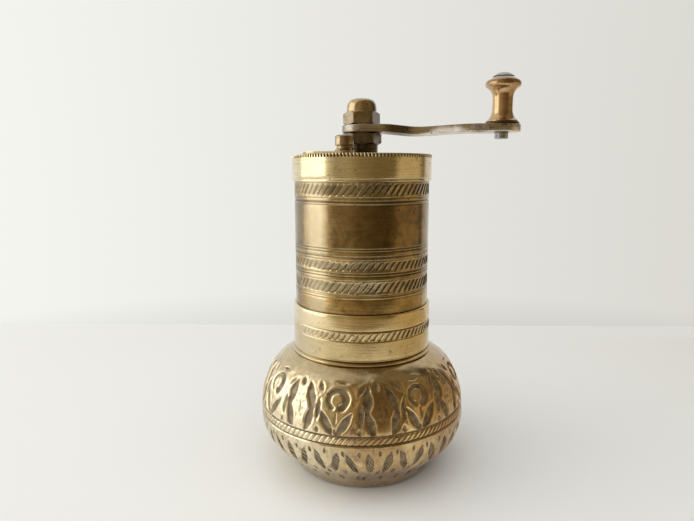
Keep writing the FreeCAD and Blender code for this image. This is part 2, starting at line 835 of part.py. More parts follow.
def make_burr_ring():
    """The fixed burr: a funnel above, and a toothed wall that opens downwards."""
    throat = size.ring_throat_height
    corners = [
        (size.ring_outlet, 0), (ring_radius - size.fit, 0), (ring_radius - size.fit, size.ring_height),
        (size.ring_mouth, size.ring_height), (size.ring_throat, throat),
    ]
    body = turned("burr_ring", corners, z=ring_foot)
    sketch = new_sketch(body, "grub_socket_circle", "YZ_Plane", level=ring_radius - size.grub_length)
    draw_circle(sketch, size.grub_radius + size.fit, 0, size.grub_level)
    socket = extrude_cut_outward(body, sketch, "grub_socket", size.grub_length * 2)
    repeat_round(body, "grub_sockets", [socket], size.grub_count)
    sketch = new_sketch(body, "screw_socket_circles")
    for side in (-1, 1):
        draw_circle(sketch, size.bridge_screw_radius + size.fit, bridge_screw_x * side)
    extrude_cut_outward(body, sketch, "screw_sockets", size.bridge_screw_depth)
    beyond = size.tooth_runout
    cut_teeth(body, "ring_gap", size.ring_outlet + ring_slope * beyond, size.ring_throat - ring_slope * beyond,
              -beyond, throat + beyond, size.tooth_depth, size.ring_teeth)
    return body


def make_burr_cone():
    """The turning burr: its toothed wall keeps an even gap to the ring, and its cap feeds the seed."""
    foot_radius = size.ring_outlet - size.burr_gap - ring_slope * size.cone_lift
    head_radius = foot_radius - ring_slope * size.cone_height
    bore = size.cone_shank + size.fit
    cap_radius = size.spindle_radius + size.cone_cap_height / 2
    corners = [
        (bore, size.cone_recess_depth), (size.cone_recess, size.cone_recess_depth), (size.cone_recess, 0),
        (foot_radius, 0), (head_radius, size.cone_height),
        (cap_radius, size.cone_height + size.cone_cap_height), (bore, size.cone_height + size.cone_cap_height),
    ]
    body = turned("burr_cone", corners, z=cone_foot)
    beyond = size.tooth_runout
    cut_teeth(body, "cone_gap", foot_radius + ring_slope * beyond, head_radius - ring_slope * beyond,
              -beyond, size.cone_height + beyond, -size.tooth_depth, size.cone_teeth)
    return body


def make_ring_screws():
    """Three slotted grub screws through the spigot's wall into the burr ring."""
    body = new_body("ring_screws", z=ring_foot)
    start = ring_radius - size.grub_length + size.hopper_wall - size.fit
    sketch = new_sketch(body, "grub_outline", "YZ_Plane", level=start)
    draw_circle(sketch, size.grub_radius, 0, size.grub_level)
    screw = extrude(body, sketch, "grub", size.grub_length)
    slot_sketch = new_sketch(body, "slot_outline", "YZ_Plane", level=start + size.grub_length)
    reach, half = size.grub_radius * 2, size.slot_width / 2
    middle = size.grub_level
    draw_outline(slot_sketch, [(-reach, middle - half), (reach, middle - half), (reach, middle + half),
                               (-reach, middle + half)])
    slot = cut_down(body, slot_sketch, "slot", size.slot_depth)
    repeat_round(body, "grubs", [screw, slot], size.grub_count)
    return body


def make_bearing_bridge():
    """A bar across the spigot, widened round the lower bush and screwed up into the burr ring."""
    body = new_body("bearing_bridge", z=bridge_foot)
    reach = ring_radius - size.bridge_gap
    half = size.bridge_width / 2
    corner = worked_out("bridge_corner", root(reach * reach - half * half))
    sketch = new_sketch(body, "bar_outline")
    draw_outline(sketch, [(-corner, -half), (corner, -half, reach), (corner, half), (-corner, half, reach)])
    extrude(body, sketch, "bar", size.bridge_thickness)
    sketch = new_sketch(body, "boss_outline")
    draw_circle(sketch, size.bridge_boss)
    extrude(body, sketch, "boss", size.bridge_thickness)
    drill(body, "bush_hole", size.lower_bush_radius + size.fit)
    for side, label in ((-1, "left"), (1, "right")):
        drill(body, f"screw_hole_{label}", size.bridge_screw_radius + size.fit, bridge_screw_x * side)
    return body


def make_bridge_screws():
    """Two screws with flat slotted heads under the bridge."""
    body = new_body("bridge_screws", z=bridge_foot - size.screw_head_height)
    head, top = size.screw_head_radius, size.screw_head_height
    end = top + size.bridge_thickness + size.bridge_screw_depth - size.end_play
    screw = turn_on_axis(body, "Revolution", "screw", [
        (0, 0), (head, 0), (head, top), (size.bridge_screw_radius, top), (size.bridge_screw_radius, end), (0, end),
    ], shift=bridge_screw_x)
    sketch = new_sketch(body, "slot_outline", level=size.slot_depth)
    reach, half = size.screw_head_radius * 2, size.slot_width / 2
    draw_outline(sketch, [(bridge_screw_x - reach, -half), (bridge_screw_x + reach, -half),
                          (bridge_screw_x + reach, half), (bridge_screw_x - reach, half)])
    slot = cut_down(body, sketch, "slot", size.slot_depth * 2)
    repeat_round(body, "screws", [screw, slot], 2)
    return body


def make_bearing_bush():
    """The lower bearing, flanged under the bridge."""
    bore = size.journal_radius + size.running_fit
    rim, top = size.lower_bush_rim, size.lower_bush_rim + size.bridge_thickness
    corners = [
        (bore, 0), (size.lower_bush_flange, 0), (size.lower_bush_flange, rim),
        (size.lower_bush_radius, rim), (size.lower_bush_radius, top), (bore, top),
    ]
    return turned("bearing_bush", corners, z=bridge_foot - rim)


# ---------------------------------------------------------------------------------------------------
# Spindle and what turns with it
# ---------------------------------------------------------------------------------------------------

def make_spindle():
    """Journal, cone seat, long shank, squared head for the arm and a stud for the cap nut."""
    foot = worked_out("spindle_foot", bridge_foot - size.lower_bush_rim - size.spindle_tip)
    journal_end = ring_foot + size.cone_lift / 2 - foot
    seat = cone_top - foot
    square_foot = arm_level - size.square_in_nut - foot
    square_top = arm_top + size.square_above_arm - foot
    end = square_top + size.stud_length
    bevel = size.edge_break
    corners = [
        (0, 0), (size.journal_radius - bevel, 0), (size.journal_radius, bevel),
        (size.journal_radius, journal_end), (size.cone_shank, journal_end), (size.cone_shank, seat),
        (size.spindle_radius, seat), (size.spindle_radius, square_top), (size.stud_radius, square_top),
        (size.stud_radius, end - bevel), (size.stud_radius - bevel, end), (0, end),
    ]
    body = turned("spindle", corners, z=foot)
    sketch = new_sketch(body, "square_outline", level=square_top)
    draw_circle(sketch, size.spindle_radius * 2)
    draw_outline(sketch, regular(size.square_flats, 4))
    cut_down(body, sketch, "square", square_top - square_foot)
    sketch = new_sketch(body, "pin_circle", "XZ_Plane")
    draw_circle(sketch, size.cross_pin_radius + size.fit, 0, cross_pin_level - foot)
    cut_through(body, sketch, "pin_hole")
    return body


def make_cross_pin():
    body = new_body("cross_pin", z=cross_pin_level)
    sketch = new_sketch(body, "pin_outline", "XZ_Plane", level=-size.cross_pin_length / 2)
    draw_circle(sketch, size.cross_pin_radius)
    extrude(body, sketch, "pin", size.cross_pin_length)
    return body


def make_spring_washer():
    bore = size.spindle_radius + size.running_fit
    corners = [
        (bore, 0), (size.washer_radius, 0),
        (size.washer_radius, size.washer_thickness), (bore, size.washer_thickness),
    ]
    return turned("spring_washer", corners, z=washer_foot)


def make_spring():
    """An open coil between the washer and the bush's flange."""
    body = new_body("spring", z=washer_top)
    sketch = new_sketch(body, "wire_circle", "XZ_Plane")
    draw_circle(sketch, size.spring_wire, size.spring_radius, size.spring_wire + size.fit)
    coil = body.newObject("PartDesign::AdditiveHelix", "coil")
    coil.Profile = sketch
    coil.ReferenceAxis = (sketch, ["V_Axis"])
    coil.Mode = "height-turns-angle"
    rise = size.spring_length - size.spring_wire * 2 - size.fit * 2
    coil.Height = rise.value
    coil.setExpression("Height", rise.text)
    coil.Turns = size.spring_turns.value
    coil.setExpression("Turns", size.spring_turns.text)
    return body


def bevel_hexagon(body, name, flats, top, slope):
    """Turn off the top corners of a hexagon at that slope in degrees."""
    inner = flats / 2
    outer = flats / math.sqrt(3) + size.edge_break
    drop = (outer - inner) * math.tan(math.radians(slope.value))
    turn_on_axis(body, "Groove", name, [(inner, top), (outer, top - drop), (outer, top + drop), (inner, top + drop)])


def make_cone_nut():
    body = new_body("cone_nut", z=cone_foot + size.cone_recess_depth - size.cone_nut_height)
    sketch = new_sketch(body, "hexagon")
    draw_outline(sketch, regular(size.cone_nut_flats))
    extrude(body, sketch, "nut", size.cone_nut_height)
    drill(body, "thread", size.cone_shank + size.fit)
    return body


# ---------------------------------------------------------------------------------------------------
# Crank: adjusting nut, arm, cap nut and knob
# ---------------------------------------------------------------------------------------------------

def make_adjusting_nut():
    """A hexagon on a round shank that rides on the lid's bush and carries the arm."""
    body = new_body("adjusting_nut", z=bush_top)
    sketch = new_sketch(body, "shank_circle")
    draw_circle(sketch, size.nut_shank)
    extrude(body, sketch, "shank", size.nut_shank_height)
    sketch = new_sketch(body, "hexagon", level=size.nut_shank_height)
    draw_outline(sketch, regular(size.nut_flats, facing=size.nut_facing.value))
    extrude(body, sketch, "hexagon_block", size.nut_hex_height)
    drill(body, "thread", size.spindle_radius + size.running_fit)
    return body


def make_crank_arm():
    """A flat bar, broad at the spindle, that dips a little beyond its boss."""
    plan = new_body("arm_plan", z=arm_level)
    sketch = new_sketch(plan, "plan_outline", level=-size.arm_thickness)
    draw_round_plate(sketch, [(0, 0, size.arm_boss), (size.crank_radius, 0, size.arm_end)])
    extrude(plan, sketch, "plan", size.arm_thickness * 3)
    sketch = new_sketch(plan, "square_hole_outline")
    draw_outline(sketch, regular(arm_hole, 4))
    cut_through(plan, sketch, "square_hole")
    drill(plan, "pin_hole", size.pin_radius + size.fit, size.crank_radius)

    side = new_body("arm_side", z=arm_level)
    start, low, level, dip = size.arm_boss, size.arm_dip_x, size.arm_level_x, size.arm_dip
    first, second = (start + low) / 2, (low + level) / 2

    def bend(name, length):
        """Radius of the two equal arcs that sink by the dip over that length."""
        return worked_out(name, (length * length + dip * dip) / (dip * 4))

    sink, rise = bend("arm_sink", low - start), bend("arm_rise", level - low)
    far = size.crank_radius + size.arm_end * 2
    back = -size.arm_boss * 2
    sketch = new_sketch(side, "side_outline", "XZ_Plane", level=-size.arm_boss * 2)
    thick = size.arm_thickness
    draw_outline(sketch, [
        (back, 0), (start, 0, -sink), (first, -dip / 2, sink), (low, -dip, rise), (second, -dip / 2, -rise),
        (level, 0), (far, 0), (far, thick), (level, thick, rise), (second, thick - dip / 2, -rise),
        (low, thick - dip, -sink), (first, thick - dip / 2, sink), (start, thick), (back, thick),
    ])
    extrude(side, sketch, "side", size.arm_boss * 4)

    arm = document.addObject("Part::Common", "crank_arm")
    arm.Label = "crank_arm"
    arm.Base = plan
    arm.Tool = side
    return arm


def make_cap_nut():
    """An acorn nut; its mouth is wide enough for the squared spindle to rise into."""
    body = new_body("cap_nut", z=arm_top)
    hexagon, dome = size.cap_hex_height, size.dome_height
    sketch = new_sketch(body, "hexagon")
    draw_outline(sketch, regular(size.cap_flats, facing=size.nut_facing.value))
    extrude(body, sketch, "hexagon_block", hexagon)
    bevel_hexagon(body, "bevel", size.cap_flats, hexagon, size.cap_bevel)
    arc = worked_out("dome_arc", (size.dome_radius * size.dome_radius + dome * dome) / (dome * 2))
    turn_on_axis(body, "Revolution", "dome", [(0, hexagon / 2), (size.dome_radius, hexagon / 2),
                                              (size.dome_radius, hexagon, arc), (0, hexagon + dome)])
    mouth = size.spindle_radius + size.running_fit * 2
    thread = size.stud_radius + size.running_fit
    deep = hexagon + dome - size.cap_wall
    turn_on_axis(body, "Groove", "thread", [
        (0, -hexagon), (mouth, -hexagon), (mouth, size.cap_mouth_depth), (thread, size.cap_mouth_depth),
        (thread, deep), (0, deep),
    ])
    return body


def make_knob_washer():
    bore = size.pin_stem + size.running_fit
    radius, thick = size.knob_washer_radius, size.knob_washer_thickness
    corners = [(bore, 0), (radius, 0), (radius, thick), (bore, thick)]
    return turned("knob_washer", corners, size.crank_radius, 0, arm_top)


def make_knob_pin():
    """A domed pin that the knob turns on, shouldered on the arm and riveted through it."""
    tail = size.pin_tail + size.arm_thickness
    head_level = tail + size.knob_washer_thickness + size.end_play * 2 + size.knob_height
    head, rise = size.pin_head, size.pin_head_height
    dome = worked_out("pin_dome", (head * head + rise * rise) / (rise * 2))
    corners = [
        (0, 0), (size.pin_radius, 0), (size.pin_radius, tail), (size.pin_stem, tail),
        (size.pin_stem, head_level), (head, head_level, dome), (0, head_level + rise),
    ]
    return turned("knob_pin", corners, size.crank_radius, 0, arm_top - tail)


def make_knob_grip():
    """A waisted knob: flared foot, hollow waist, and a broad rim under a sloping crown."""
    bore = size.pin_stem + size.plug_fit
    waist = size.knob_waist
    rim_rise = size.knob_rim_level - size.knob_brim_level

    def flare(name, across, along):
        """Radius of the hollow arc that leaves the waist upright."""
        return worked_out(name, (across * across + along * along) / (across * 2))

    foot_arc = flare("knob_foot_arc", size.knob_foot - waist, size.knob_waist_low - size.knob_foot_height)
    brim_arc = flare("knob_brim_arc", size.knob_brim - waist, size.knob_brim_level - size.knob_waist_high)
    corners = [
        (bore, 0), (size.knob_foot, 0), (size.knob_foot, size.knob_foot_height, -foot_arc),
        (waist, size.knob_waist_low), (waist, size.knob_waist_high, -brim_arc),
        (size.knob_brim, size.knob_brim_level, size.knob_under_round),
        (size.knob_rim, size.knob_rim_level, size.knob_rim_round),
        (size.knob_brim, size.knob_rim_level + rim_rise), (size.knob_crown, size.knob_height),
        (bore, size.knob_height),
    ]
    level = arm_top + size.knob_washer_thickness + size.end_play
    return turned("knob_grip", corners, size.crank_radius, 0, level)


# ---------------------------------------------------------------------------------------------------
# Assembly
# ---------------------------------------------------------------------------------------------------

# The bridge screws stand midway between the ring's outlet and its outer wall.
bridge_screw_x = worked_out("bridge_screw_x", (size.ring_outlet + size.tooth_depth + ring_radius) / 2)

pieces = [
    make_bowl(), make_neck_collar(),
    make_mill_tube(), make_lid(), make_lid_edge(), make_lid_bush(), make_shutter_rivet(),
    make_filler_shutter(), make_shutter_knob(),
    make_burr_ring(), make_ring_screws(), make_bearing_bridge(), make_bridge_screws(), make_bearing_bush(),
    make_spindle(), make_burr_cone(), make_cone_nut(), make_cross_pin(), make_spring_washer(), make_spring(),
    make_adjusting_nut(), make_crank_arm(), make_cap_nut(),
    make_knob_washer(), make_knob_pin(), make_knob_grip(),
]
document.recompute()

for item in document.Objects:
    faults = [state for state in item.State if state in ("Invalid", "Error")]
    if faults:
        raise RuntimeError(f"{item.Name} is {faults[0]}: {item.getStatusString()}")
for piece in pieces:
    if piece.Shape.isNull() or not piece.Shape.isValid():
        raise RuntimeError(f"{piece.Label} has no valid shape")

os.makedirs("parts", exist_ok=True)
for piece in pieces:
    piece.Shape.exportStep(f"parts/{piece.Label}.step")
    box = piece.Shape.BoundBox
    print(f"{piece.Label}: {len(piece.Shape.Solids)} solid, {piece.Shape.Volume:.0f} mm3, "
          f"z {box.ZMin:.2f} to {box.ZMax:.2f}")
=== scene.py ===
import math

import bmesh
import bpy
import numpy as np
from mathutils import Matrix, Vector


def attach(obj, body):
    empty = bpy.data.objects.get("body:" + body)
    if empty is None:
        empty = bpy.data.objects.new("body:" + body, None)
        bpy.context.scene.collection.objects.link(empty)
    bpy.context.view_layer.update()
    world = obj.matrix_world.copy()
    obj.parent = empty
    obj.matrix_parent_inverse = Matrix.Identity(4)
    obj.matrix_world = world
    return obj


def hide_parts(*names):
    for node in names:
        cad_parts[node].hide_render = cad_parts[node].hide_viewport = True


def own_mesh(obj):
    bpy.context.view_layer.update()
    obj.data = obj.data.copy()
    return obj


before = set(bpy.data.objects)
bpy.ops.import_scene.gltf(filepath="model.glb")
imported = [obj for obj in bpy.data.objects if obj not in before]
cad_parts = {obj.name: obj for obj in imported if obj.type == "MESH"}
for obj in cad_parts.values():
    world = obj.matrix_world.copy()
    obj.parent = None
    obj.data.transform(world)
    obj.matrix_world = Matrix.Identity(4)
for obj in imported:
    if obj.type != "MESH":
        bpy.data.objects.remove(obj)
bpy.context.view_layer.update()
scene = bpy.context.scene
scene.view_settings.view_transform = "Standard"
mm = 0.001


# --------------------------------------------------
# The room. The mill stands near the back edge of a white table, in front of a pale wall.
# A tall window is on its left, and behind the viewer is a dim brown room, brighter to the right.

def direction(azimuth, elevation):
    """A unit vector; azimuth 0 looks along +Y and grows towards +X, in degrees."""
    turn, rise = math.radians(azimuth), math.radians(elevation)
    return Vector((math.sin(turn) * math.cos(rise), math.cos(turn) * math.cos(rise), math.sin(rise)))


eye = Vector((0, -203.55 * mm, 112.5 * mm))
gaze_azimuth, gaze_elevation, gaze_roll = -1.57, -9.24, -0.21
gaze = direction(gaze_azimuth, gaze_elevation)
level_right = direction(gaze_azimuth + 90, 0)
level_up = level_right.cross(gaze)
roll = math.radians(gaze_roll)
right = level_right * math.cos(roll) + level_up * math.sin(roll)
up = level_up * math.cos(roll) - level_right * math.sin(roll)
lens = bpy.data.cameras.new("camera")
lens.sensor_width = 36
lens.lens = 27.75
lens.clip_start = 0.01
camera = bpy.data.objects.new("camera", lens)
camera.matrix_world = Matrix.Translation(eye) @ Matrix((right, up, -gaze)).transposed().to_4x4()
scene.collection.objects.link(camera)
scene.camera = camera


def nodes_of(owner):
    """The emptied node tree of a material or of the world."""
    owner.use_nodes = True
    tree = owner.node_tree
    tree.nodes.clear()
    return tree


def put(tree, kind, inputs=(), **settings):
    """Adds a shader node, sets its properties, and gives each named input a value or a link."""
    node = tree.nodes.new("ShaderNode" + kind)
    for name, value in settings.items():
        setattr(node, name, value)
    for name, value in dict(inputs).items():
        socket = node.inputs[name]
        if isinstance(value, bpy.types.NodeSocket):
            tree.links.new(value, socket)
        else:
            socket.default_value = value
    return node


def place_in(tree):
    """Where a point of the surface lies, in metres."""
    return put(tree, "TexCoord").outputs["Object"]


def part(tree, vector, axis):
    """A vector's X, Y or Z."""
    return put(tree, "SeparateXYZ", {0: vector}).outputs[axis]


def maths(tree, first, sign, second=0.0, clamp=False):
    """What a Math node makes of two values; the sign is + - * / or the node's own word."""
    word = {"+": "ADD", "-": "SUBTRACT", "*": "MULTIPLY", "/": "DIVIDE"}.get(sign, sign)
    return put(tree, "Math", {0: first, 1: second}, operation=word, use_clamp=clamp).outputs[0]


def noise(tree, place, scale, detail, **more):
    """A noise texture's value."""
    return put(tree, "TexNoise", {"Vector": place, "Scale": scale, "Detail": detail, **more}).outputs["Fac"]


def rescale(tree, value, low, high, start=0.0, end=1.0):
    """Maps a value from between low and high to between start and end, and holds it there."""
    limits = {"From Min": low, "From Max": high, "To Min": start, "To Max": end}
    return put(tree, "MapRange", {"Value": value, **limits}).outputs["Result"]


def ramp(tree, factor, stops):
    """A colour ramp. Stops are (position, colour), a colour being a grey level or three numbers."""
    node = put(tree, "ValToRGB", {"Fac": factor})
    elements = node.color_ramp.elements
    while len(elements) < len(stops):
        elements.new(0.5)
    for element, (position, colour) in zip(elements, stops):
        element.position = position
        element.color = (colour, colour, colour, 1) if isinstance(colour, float) else (*colour, 1)
    return node.outputs["Color"]


def tones_along(tree, value, low, high, stops, unit=mm):
    """A ramp from low to high, whose stops are (place, colour) in mm or in another unit."""
    share = rescale(tree, value, low * unit, high * unit)
    return ramp(tree, share, [((at - low) / (high - low), colour) for at, colour in stops])


def blend(tree, factor, first, second, mode="MIX"):
    """A colour mix's output."""
    first, second = (tone if isinstance(tone, bpy.types.NodeSocket) else (*tone, 1) for tone in (first, second))
    return put(tree, "Mix", {0: factor, 6: first, 7: second}, data_type="RGBA", blend_type=mode).outputs[2]


def flat(left, right, front, back, height=0.0):
    """The skin of a level rectangle."""
    bm = bmesh.new()
    middle = Matrix.Translation(((left + right) / 2, (front + back) / 2, height))
    bmesh.ops.create_grid(bm, x_segments=1, y_segments=1, size=0.5,
                          matrix=middle @ Matrix.Diagonal((right - left, back - front, 1, 1)))
    return bm


def set_up(bm, name, material):
    """Makes an object of a skin and a material, and puts it in the scene."""
    mesh = bpy.data.meshes.new(name)
    bm.to_mesh(mesh)
    bm.free()
    mesh.materials.append(material)
    thing = bpy.data.objects.new(name, mesh)
    scene.collection.objects.link(thing)
    return thing


def end_with(tree, kind, inputs):
    """The shader that a material ends with."""
    put(tree, "OutputMaterial", {"Surface": put(tree, kind, inputs).outputs[0]})


table_colour, table_width, table_front, table_back = (0.865, 0.870, 0.850), 3.0, -0.180, 186 * mm
table_paint = bpy.data.materials.new("table_paint")
tree = nodes_of(table_paint)
spot = place_in(tree)
tone = blend(tree, noise(tree, spot, 9.0, 3.0), [level * 0.985 for level in table_colour], table_colour)
bump = put(tree, "Bump", {"Height": noise(tree, spot, 900.0, 2.0), "Strength": 0.05, "Distance": 0.0002})
end_with(tree, "BsdfPrincipled", {"Base Color": tone, "Roughness": 0.42, "Specular IOR Level": 0.3,
                                  "Normal": bump.outputs["Normal"]})
table = set_up(flat(-table_width / 2, table_width / 2, table_front, table_back), "table", table_paint)

# The wall is the world: its own colour for what is seen directly or mirrored, a plain level for the rest.
wall_left, wall_middle, wall_right = (0.900, 0.908, 0.862), (0.800, 0.791, 0.753), (0.705, 0.690, 0.642)
wall_reach, wall_foot, foot_shade_top, foot_shade = 0.55, -0.265, -0.215, 0.89
plain_light, plain_level = (1.0, 0.985, 0.96), 0.25
scene.world = bpy.data.worlds.new("room")
tree = nodes_of(scene.world)
ray = put(tree, "TexCoord").outputs["Generated"]
wall = ramp(tree, rescale(tree, part(tree, ray, "X"), -wall_reach, wall_reach),
            [(0.0, wall_left), (0.5, wall_middle), (1.0, wall_right)])
strength = rescale(tree, part(tree, ray, "Z"), wall_foot, foot_shade_top, foot_shade, 1.0)
seen = put(tree, "Background", {"Color": wall, "Strength": strength})
lit = put(tree, "Background", {"Color": (*plain_light, 1), "Strength": plain_level})
path = put(tree, "LightPath").outputs
shown = maths(tree, path["Is Camera Ray"], "+", path["Is Glossy Ray"], True)
shown = maths(tree, shown, "+", path["Is Transmission Ray"], True)
both = put(tree, "MixShader", {"Fac": shown, 1: lit.outputs[0], 2: seen.outputs[0]})
put(tree, "OutputWorld", {"Surface": both.outputs[0]})

# The dim half of the room is a domed screen that only gloss can see. Its tones run from left to right,
# and on the right it is bright only up to a shelf's height.
screen_radius, screen_centre = 0.9, 80 * mm
screen_left, screen_right, screen_low, screen_high = -59.0, 124.0, -80.0, 88.0
room_tones = [
    (-59, (0.820, 0.770, 0.620)), (-50, (0.560, 0.500, 0.360)), (-41, (0.360, 0.300, 0.195)),
    (-22, (0.400, 0.325, 0.205)), (-13, (0.320, 0.250, 0.140)), (-4, (0.245, 0.182, 0.092)),
    (13, (0.215, 0.162, 0.080)), (24, (0.172, 0.127, 0.060)), (53, (0.185, 0.135, 0.062)),
    (62, (0.600, 0.475, 0.275)), (106, (0.560, 0.440, 0.255)), (112, (0.200, 0.145, 0.080)),
    (119, (0.200, 0.145, 0.080)), (124, (0.600, 0.560, 0.480)),
]
shelf_low, shelf_high, shelf_from, shelf_to, shelf_tone = 4.0, 8.5, 40.0, 60.0, 0.45
bm = bmesh.new()
to_left = Matrix.Rotation(math.radians(screen_left), 3, "Z")
side = to_left @ Vector((-1, 0, 0))
start = bm.verts.new(Matrix.Rotation(math.radians(-screen_low), 3, side) @ to_left @ Vector((0, -screen_radius, 0)))
bmesh.ops.spin(bm, geom=[start], cent=(0, 0, 0), axis=side, angle=math.radians(screen_low - screen_high),
               steps=24)
bmesh.ops.spin(bm, geom=bm.verts[:] + bm.edges[:], cent=(0, 0, 0), axis=(0, 0, 1),
               angle=math.radians(screen_right - screen_left), steps=48)
bmesh.ops.translate(bm, vec=(0, 0, screen_centre), verts=bm.verts)
room_paint = bpy.data.materials.new("dim_room_tones")
tree = nodes_of(room_paint)
spot, degree = place_in(tree), math.radians(1)
bearing = maths(tree, part(tree, spot, "X"), "ARCTAN2", maths(tree, part(tree, spot, "Y"), "*", -1.0))
height = maths(tree, maths(tree, part(tree, spot, "Z"), "-", screen_centre), "/", screen_radius)
over_shelf = rescale(tree, maths(tree, height, "ARCSINE"), shelf_low * degree, shelf_high * degree)
beside = rescale(tree, bearing, shelf_from * degree, shelf_to * degree)
shaded = maths(tree, maths(tree, over_shelf, "*", beside), "*", 1 - shelf_tone)
tones = tones_along(tree, bearing, screen_left, screen_right, room_tones, degree)
end_with(tree, "Emission", {"Color": tones, "Strength": maths(tree, 1.0, "-", shaded)})
dim_room = set_up(bm, "dim_room", room_paint)

# A glowing brown sheet stands for a cloth on the table to the right, out of view; it is no lamp, and only gloss sees
# it.
cloth_left, cloth_faded, cloth_right, cloth_back, cloth_lift = 0.10, 0.25, 1.2, 0.16, 0.5 * mm
cloth_glow = bpy.data.materials.new("brown_cloth_tones")
tree = nodes_of(cloth_glow)
tones = ramp(tree, rescale(tree, part(tree, place_in(tree), "X"), cloth_left, cloth_faded),
             [(0.0, (0.70, 0.67, 0.60)), (0.45, (0.58, 0.52, 0.37)), (0.8, (0.50, 0.41, 0.25))])
end_with(tree, "Emission", {"Color": tones, "Strength": 1.0})
brown_cloth = set_up(flat(cloth_left, cloth_right, table_front, cloth_back, cloth_lift), "brown_cloth", cloth_glow)
for thing in (dim_room, brown_cloth):
    thing.visible_camera = thing.visible_diffuse = thing.visible_shadow = False


def soft_light(name, width, height, glow, colour, place, aim):
    """A rectangular light, itself unseen, that shines from place towards aim; glow is its brightness."""
    light = bpy.data.lights.new(name, "AREA")
    light.shape, light.size, light.size_y, light.color = "RECTANGLE", width, height, colour
    light.energy = glow * math.pi * width * height
    lamp = bpy.data.objects.new(name, light)
    lamp.matrix_world = Matrix.LocRotScale(place, (Vector(aim) - place).to_track_quat("-Z", "Y"), None)
    lamp.visible_camera = False
    scene.collection.objects.link(lamp)
    return lamp


window_azimuth, window_distance, window_foot, window_height = -95.0, 0.80, -0.02, 0.85
window_place = direction(window_azimuth, 0) * window_distance + Vector((0, 0, window_foot + window_height / 2))
soft_light("window", width=0.80, height=window_height, glow=1.17, colour=(1.0, 0.985, 0.95), place=window_place,
           aim=(0, 0, window_place.z))

# The bright ceiling lights the table softly; gloss doesn't see it, so brass stays as deep as the room.
ceiling = soft_light("ceiling", width=2.6, height=2.6, glow=1.19, colour=plain_light,
                     place=Vector((-0.3, -0.45, 1.15)), aim=(0, 0, 0))
ceiling.visible_glossy = False


# --------------------------------------------------
# Bowl: a round-bellied brass shell, raised from sheet and chased by hand. Leaves and scrolls stand
# in a sunken, punched ground above a rope ring; a row of slanting gouges runs round below it.

def arc(start, end, radius, steps):
    """Points from start to end, without start, on an arc with its centre on the left if radius > 0."""
    start, end = Vector(start), Vector(end)
    chord = end - start
    left = Vector((-chord.y, chord.x)).normalized()
    depth = math.sqrt(max(radius * radius - chord.length_squared / 4, 0))
    centre = (start + end) / 2 + left * math.copysign(depth, radius)
    first = start - centre
    angle = first.angle_signed(end - centre)
    return [tuple(centre + Matrix.Rotation(-angle * step / steps, 2) @ first) for step in range(1, steps + 1)]


def spin_profile(profile, steps, closed=False):
    """A skin of revolution from (radius, level) points in mm. Each vertex keeps its point's number."""
    bm = bmesh.new()
    row = bm.verts.layers.int.new("row")
    points = [bm.verts.new((radius, 0, level)) for radius, level in profile]
    for number, point in enumerate(points):
        point[row] = number
    edges = [bm.edges.new(pair) for pair in zip(points, points[1:])]
    if closed:
        edges.append(bm.edges.new((points[-1], points[0])))
    sectors = max(count for count in range(2, 13) if steps % count == 0)
    bmesh.ops.spin(bm, geom=points + edges, cent=(0, 0, 0), axis=(0, 0, 1), angle=math.tau / sectors,
                   steps=steps // sectors)
    bmesh.ops.spin(bm, geom=bm.verts[:] + bm.edges[:] + bm.faces[:], cent=(0, 0, 0), axis=(0, 0, 1),
                   angle=math.tau * (sectors - 1) / sectors, steps=sectors - 1, use_duplicate=True)
    bmesh.ops.remove_doubles(bm, verts=bm.verts, dist=1e-4)
    return bm


def chase(bm, shape):
    """Moves a spun skin's vertices to where shape(rows, angles) puts them, and keeps its relief, 0 to 1."""
    row_layer = bm.verts.layers.int["row"]
    rows = np.array([vertex[row_layer] for vertex in bm.verts])
    spots = np.array([vertex.co for vertex in bm.verts])
    angles = np.arctan2(spots[:, 1], spots[:, 0])
    radius, level, turn, relief = shape(rows, angles)
    radius = np.where(np.hypot(spots[:, 0], spots[:, 1]) < 1e-6, 0, radius)
    relief_layer = bm.verts.layers.float.new("relief")
    for vertex, r, z, a, value in zip(bm.verts, radius, level, angles + turn, relief):
        vertex.co = (r * math.cos(a), r * math.sin(a), z)
        vertex[relief_layer] = value


def finish_piece(bm, name, body, material, replaced=(), sharp=40, place=(0, 0, 0)):
    """Closes the skin and turns it outwards, makes it a smooth-shaded piece, and sets it on its body."""
    bmesh.ops.remove_doubles(bm, verts=bm.verts, dist=1e-5)
    bmesh.ops.recalc_face_normals(bm, faces=bm.faces)
    bmesh.ops.translate(bm, vec=place, verts=bm.verts)
    bmesh.ops.scale(bm, vec=(mm, mm, mm), verts=bm.verts)
    piece = set_up(bm, name, material)
    piece.data.shade_smooth()
    piece.data.set_sharp_from_angle(angle=math.radians(sharp))
    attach(piece, body)
    if replaced:
        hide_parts(*replaced)
    return piece


def smooth_step(low, high, value):
    """0 below low, 1 above high, smooth between."""
    t = np.clip((value - low) / (high - low), 0, 1)
    return t * t * (3 - 2 * t)


def spaced(*stops):
    """Values from stop to stop, each (start, step) giving the step up to the next start."""
    values = []
    for (start, step), (end, _) in zip(stops, stops[1:]):
        values += list(np.linspace(start, end, max(1, round(abs(end - start) / step)), endpoint=False))
    return np.array(values + [stops[-1][0]])


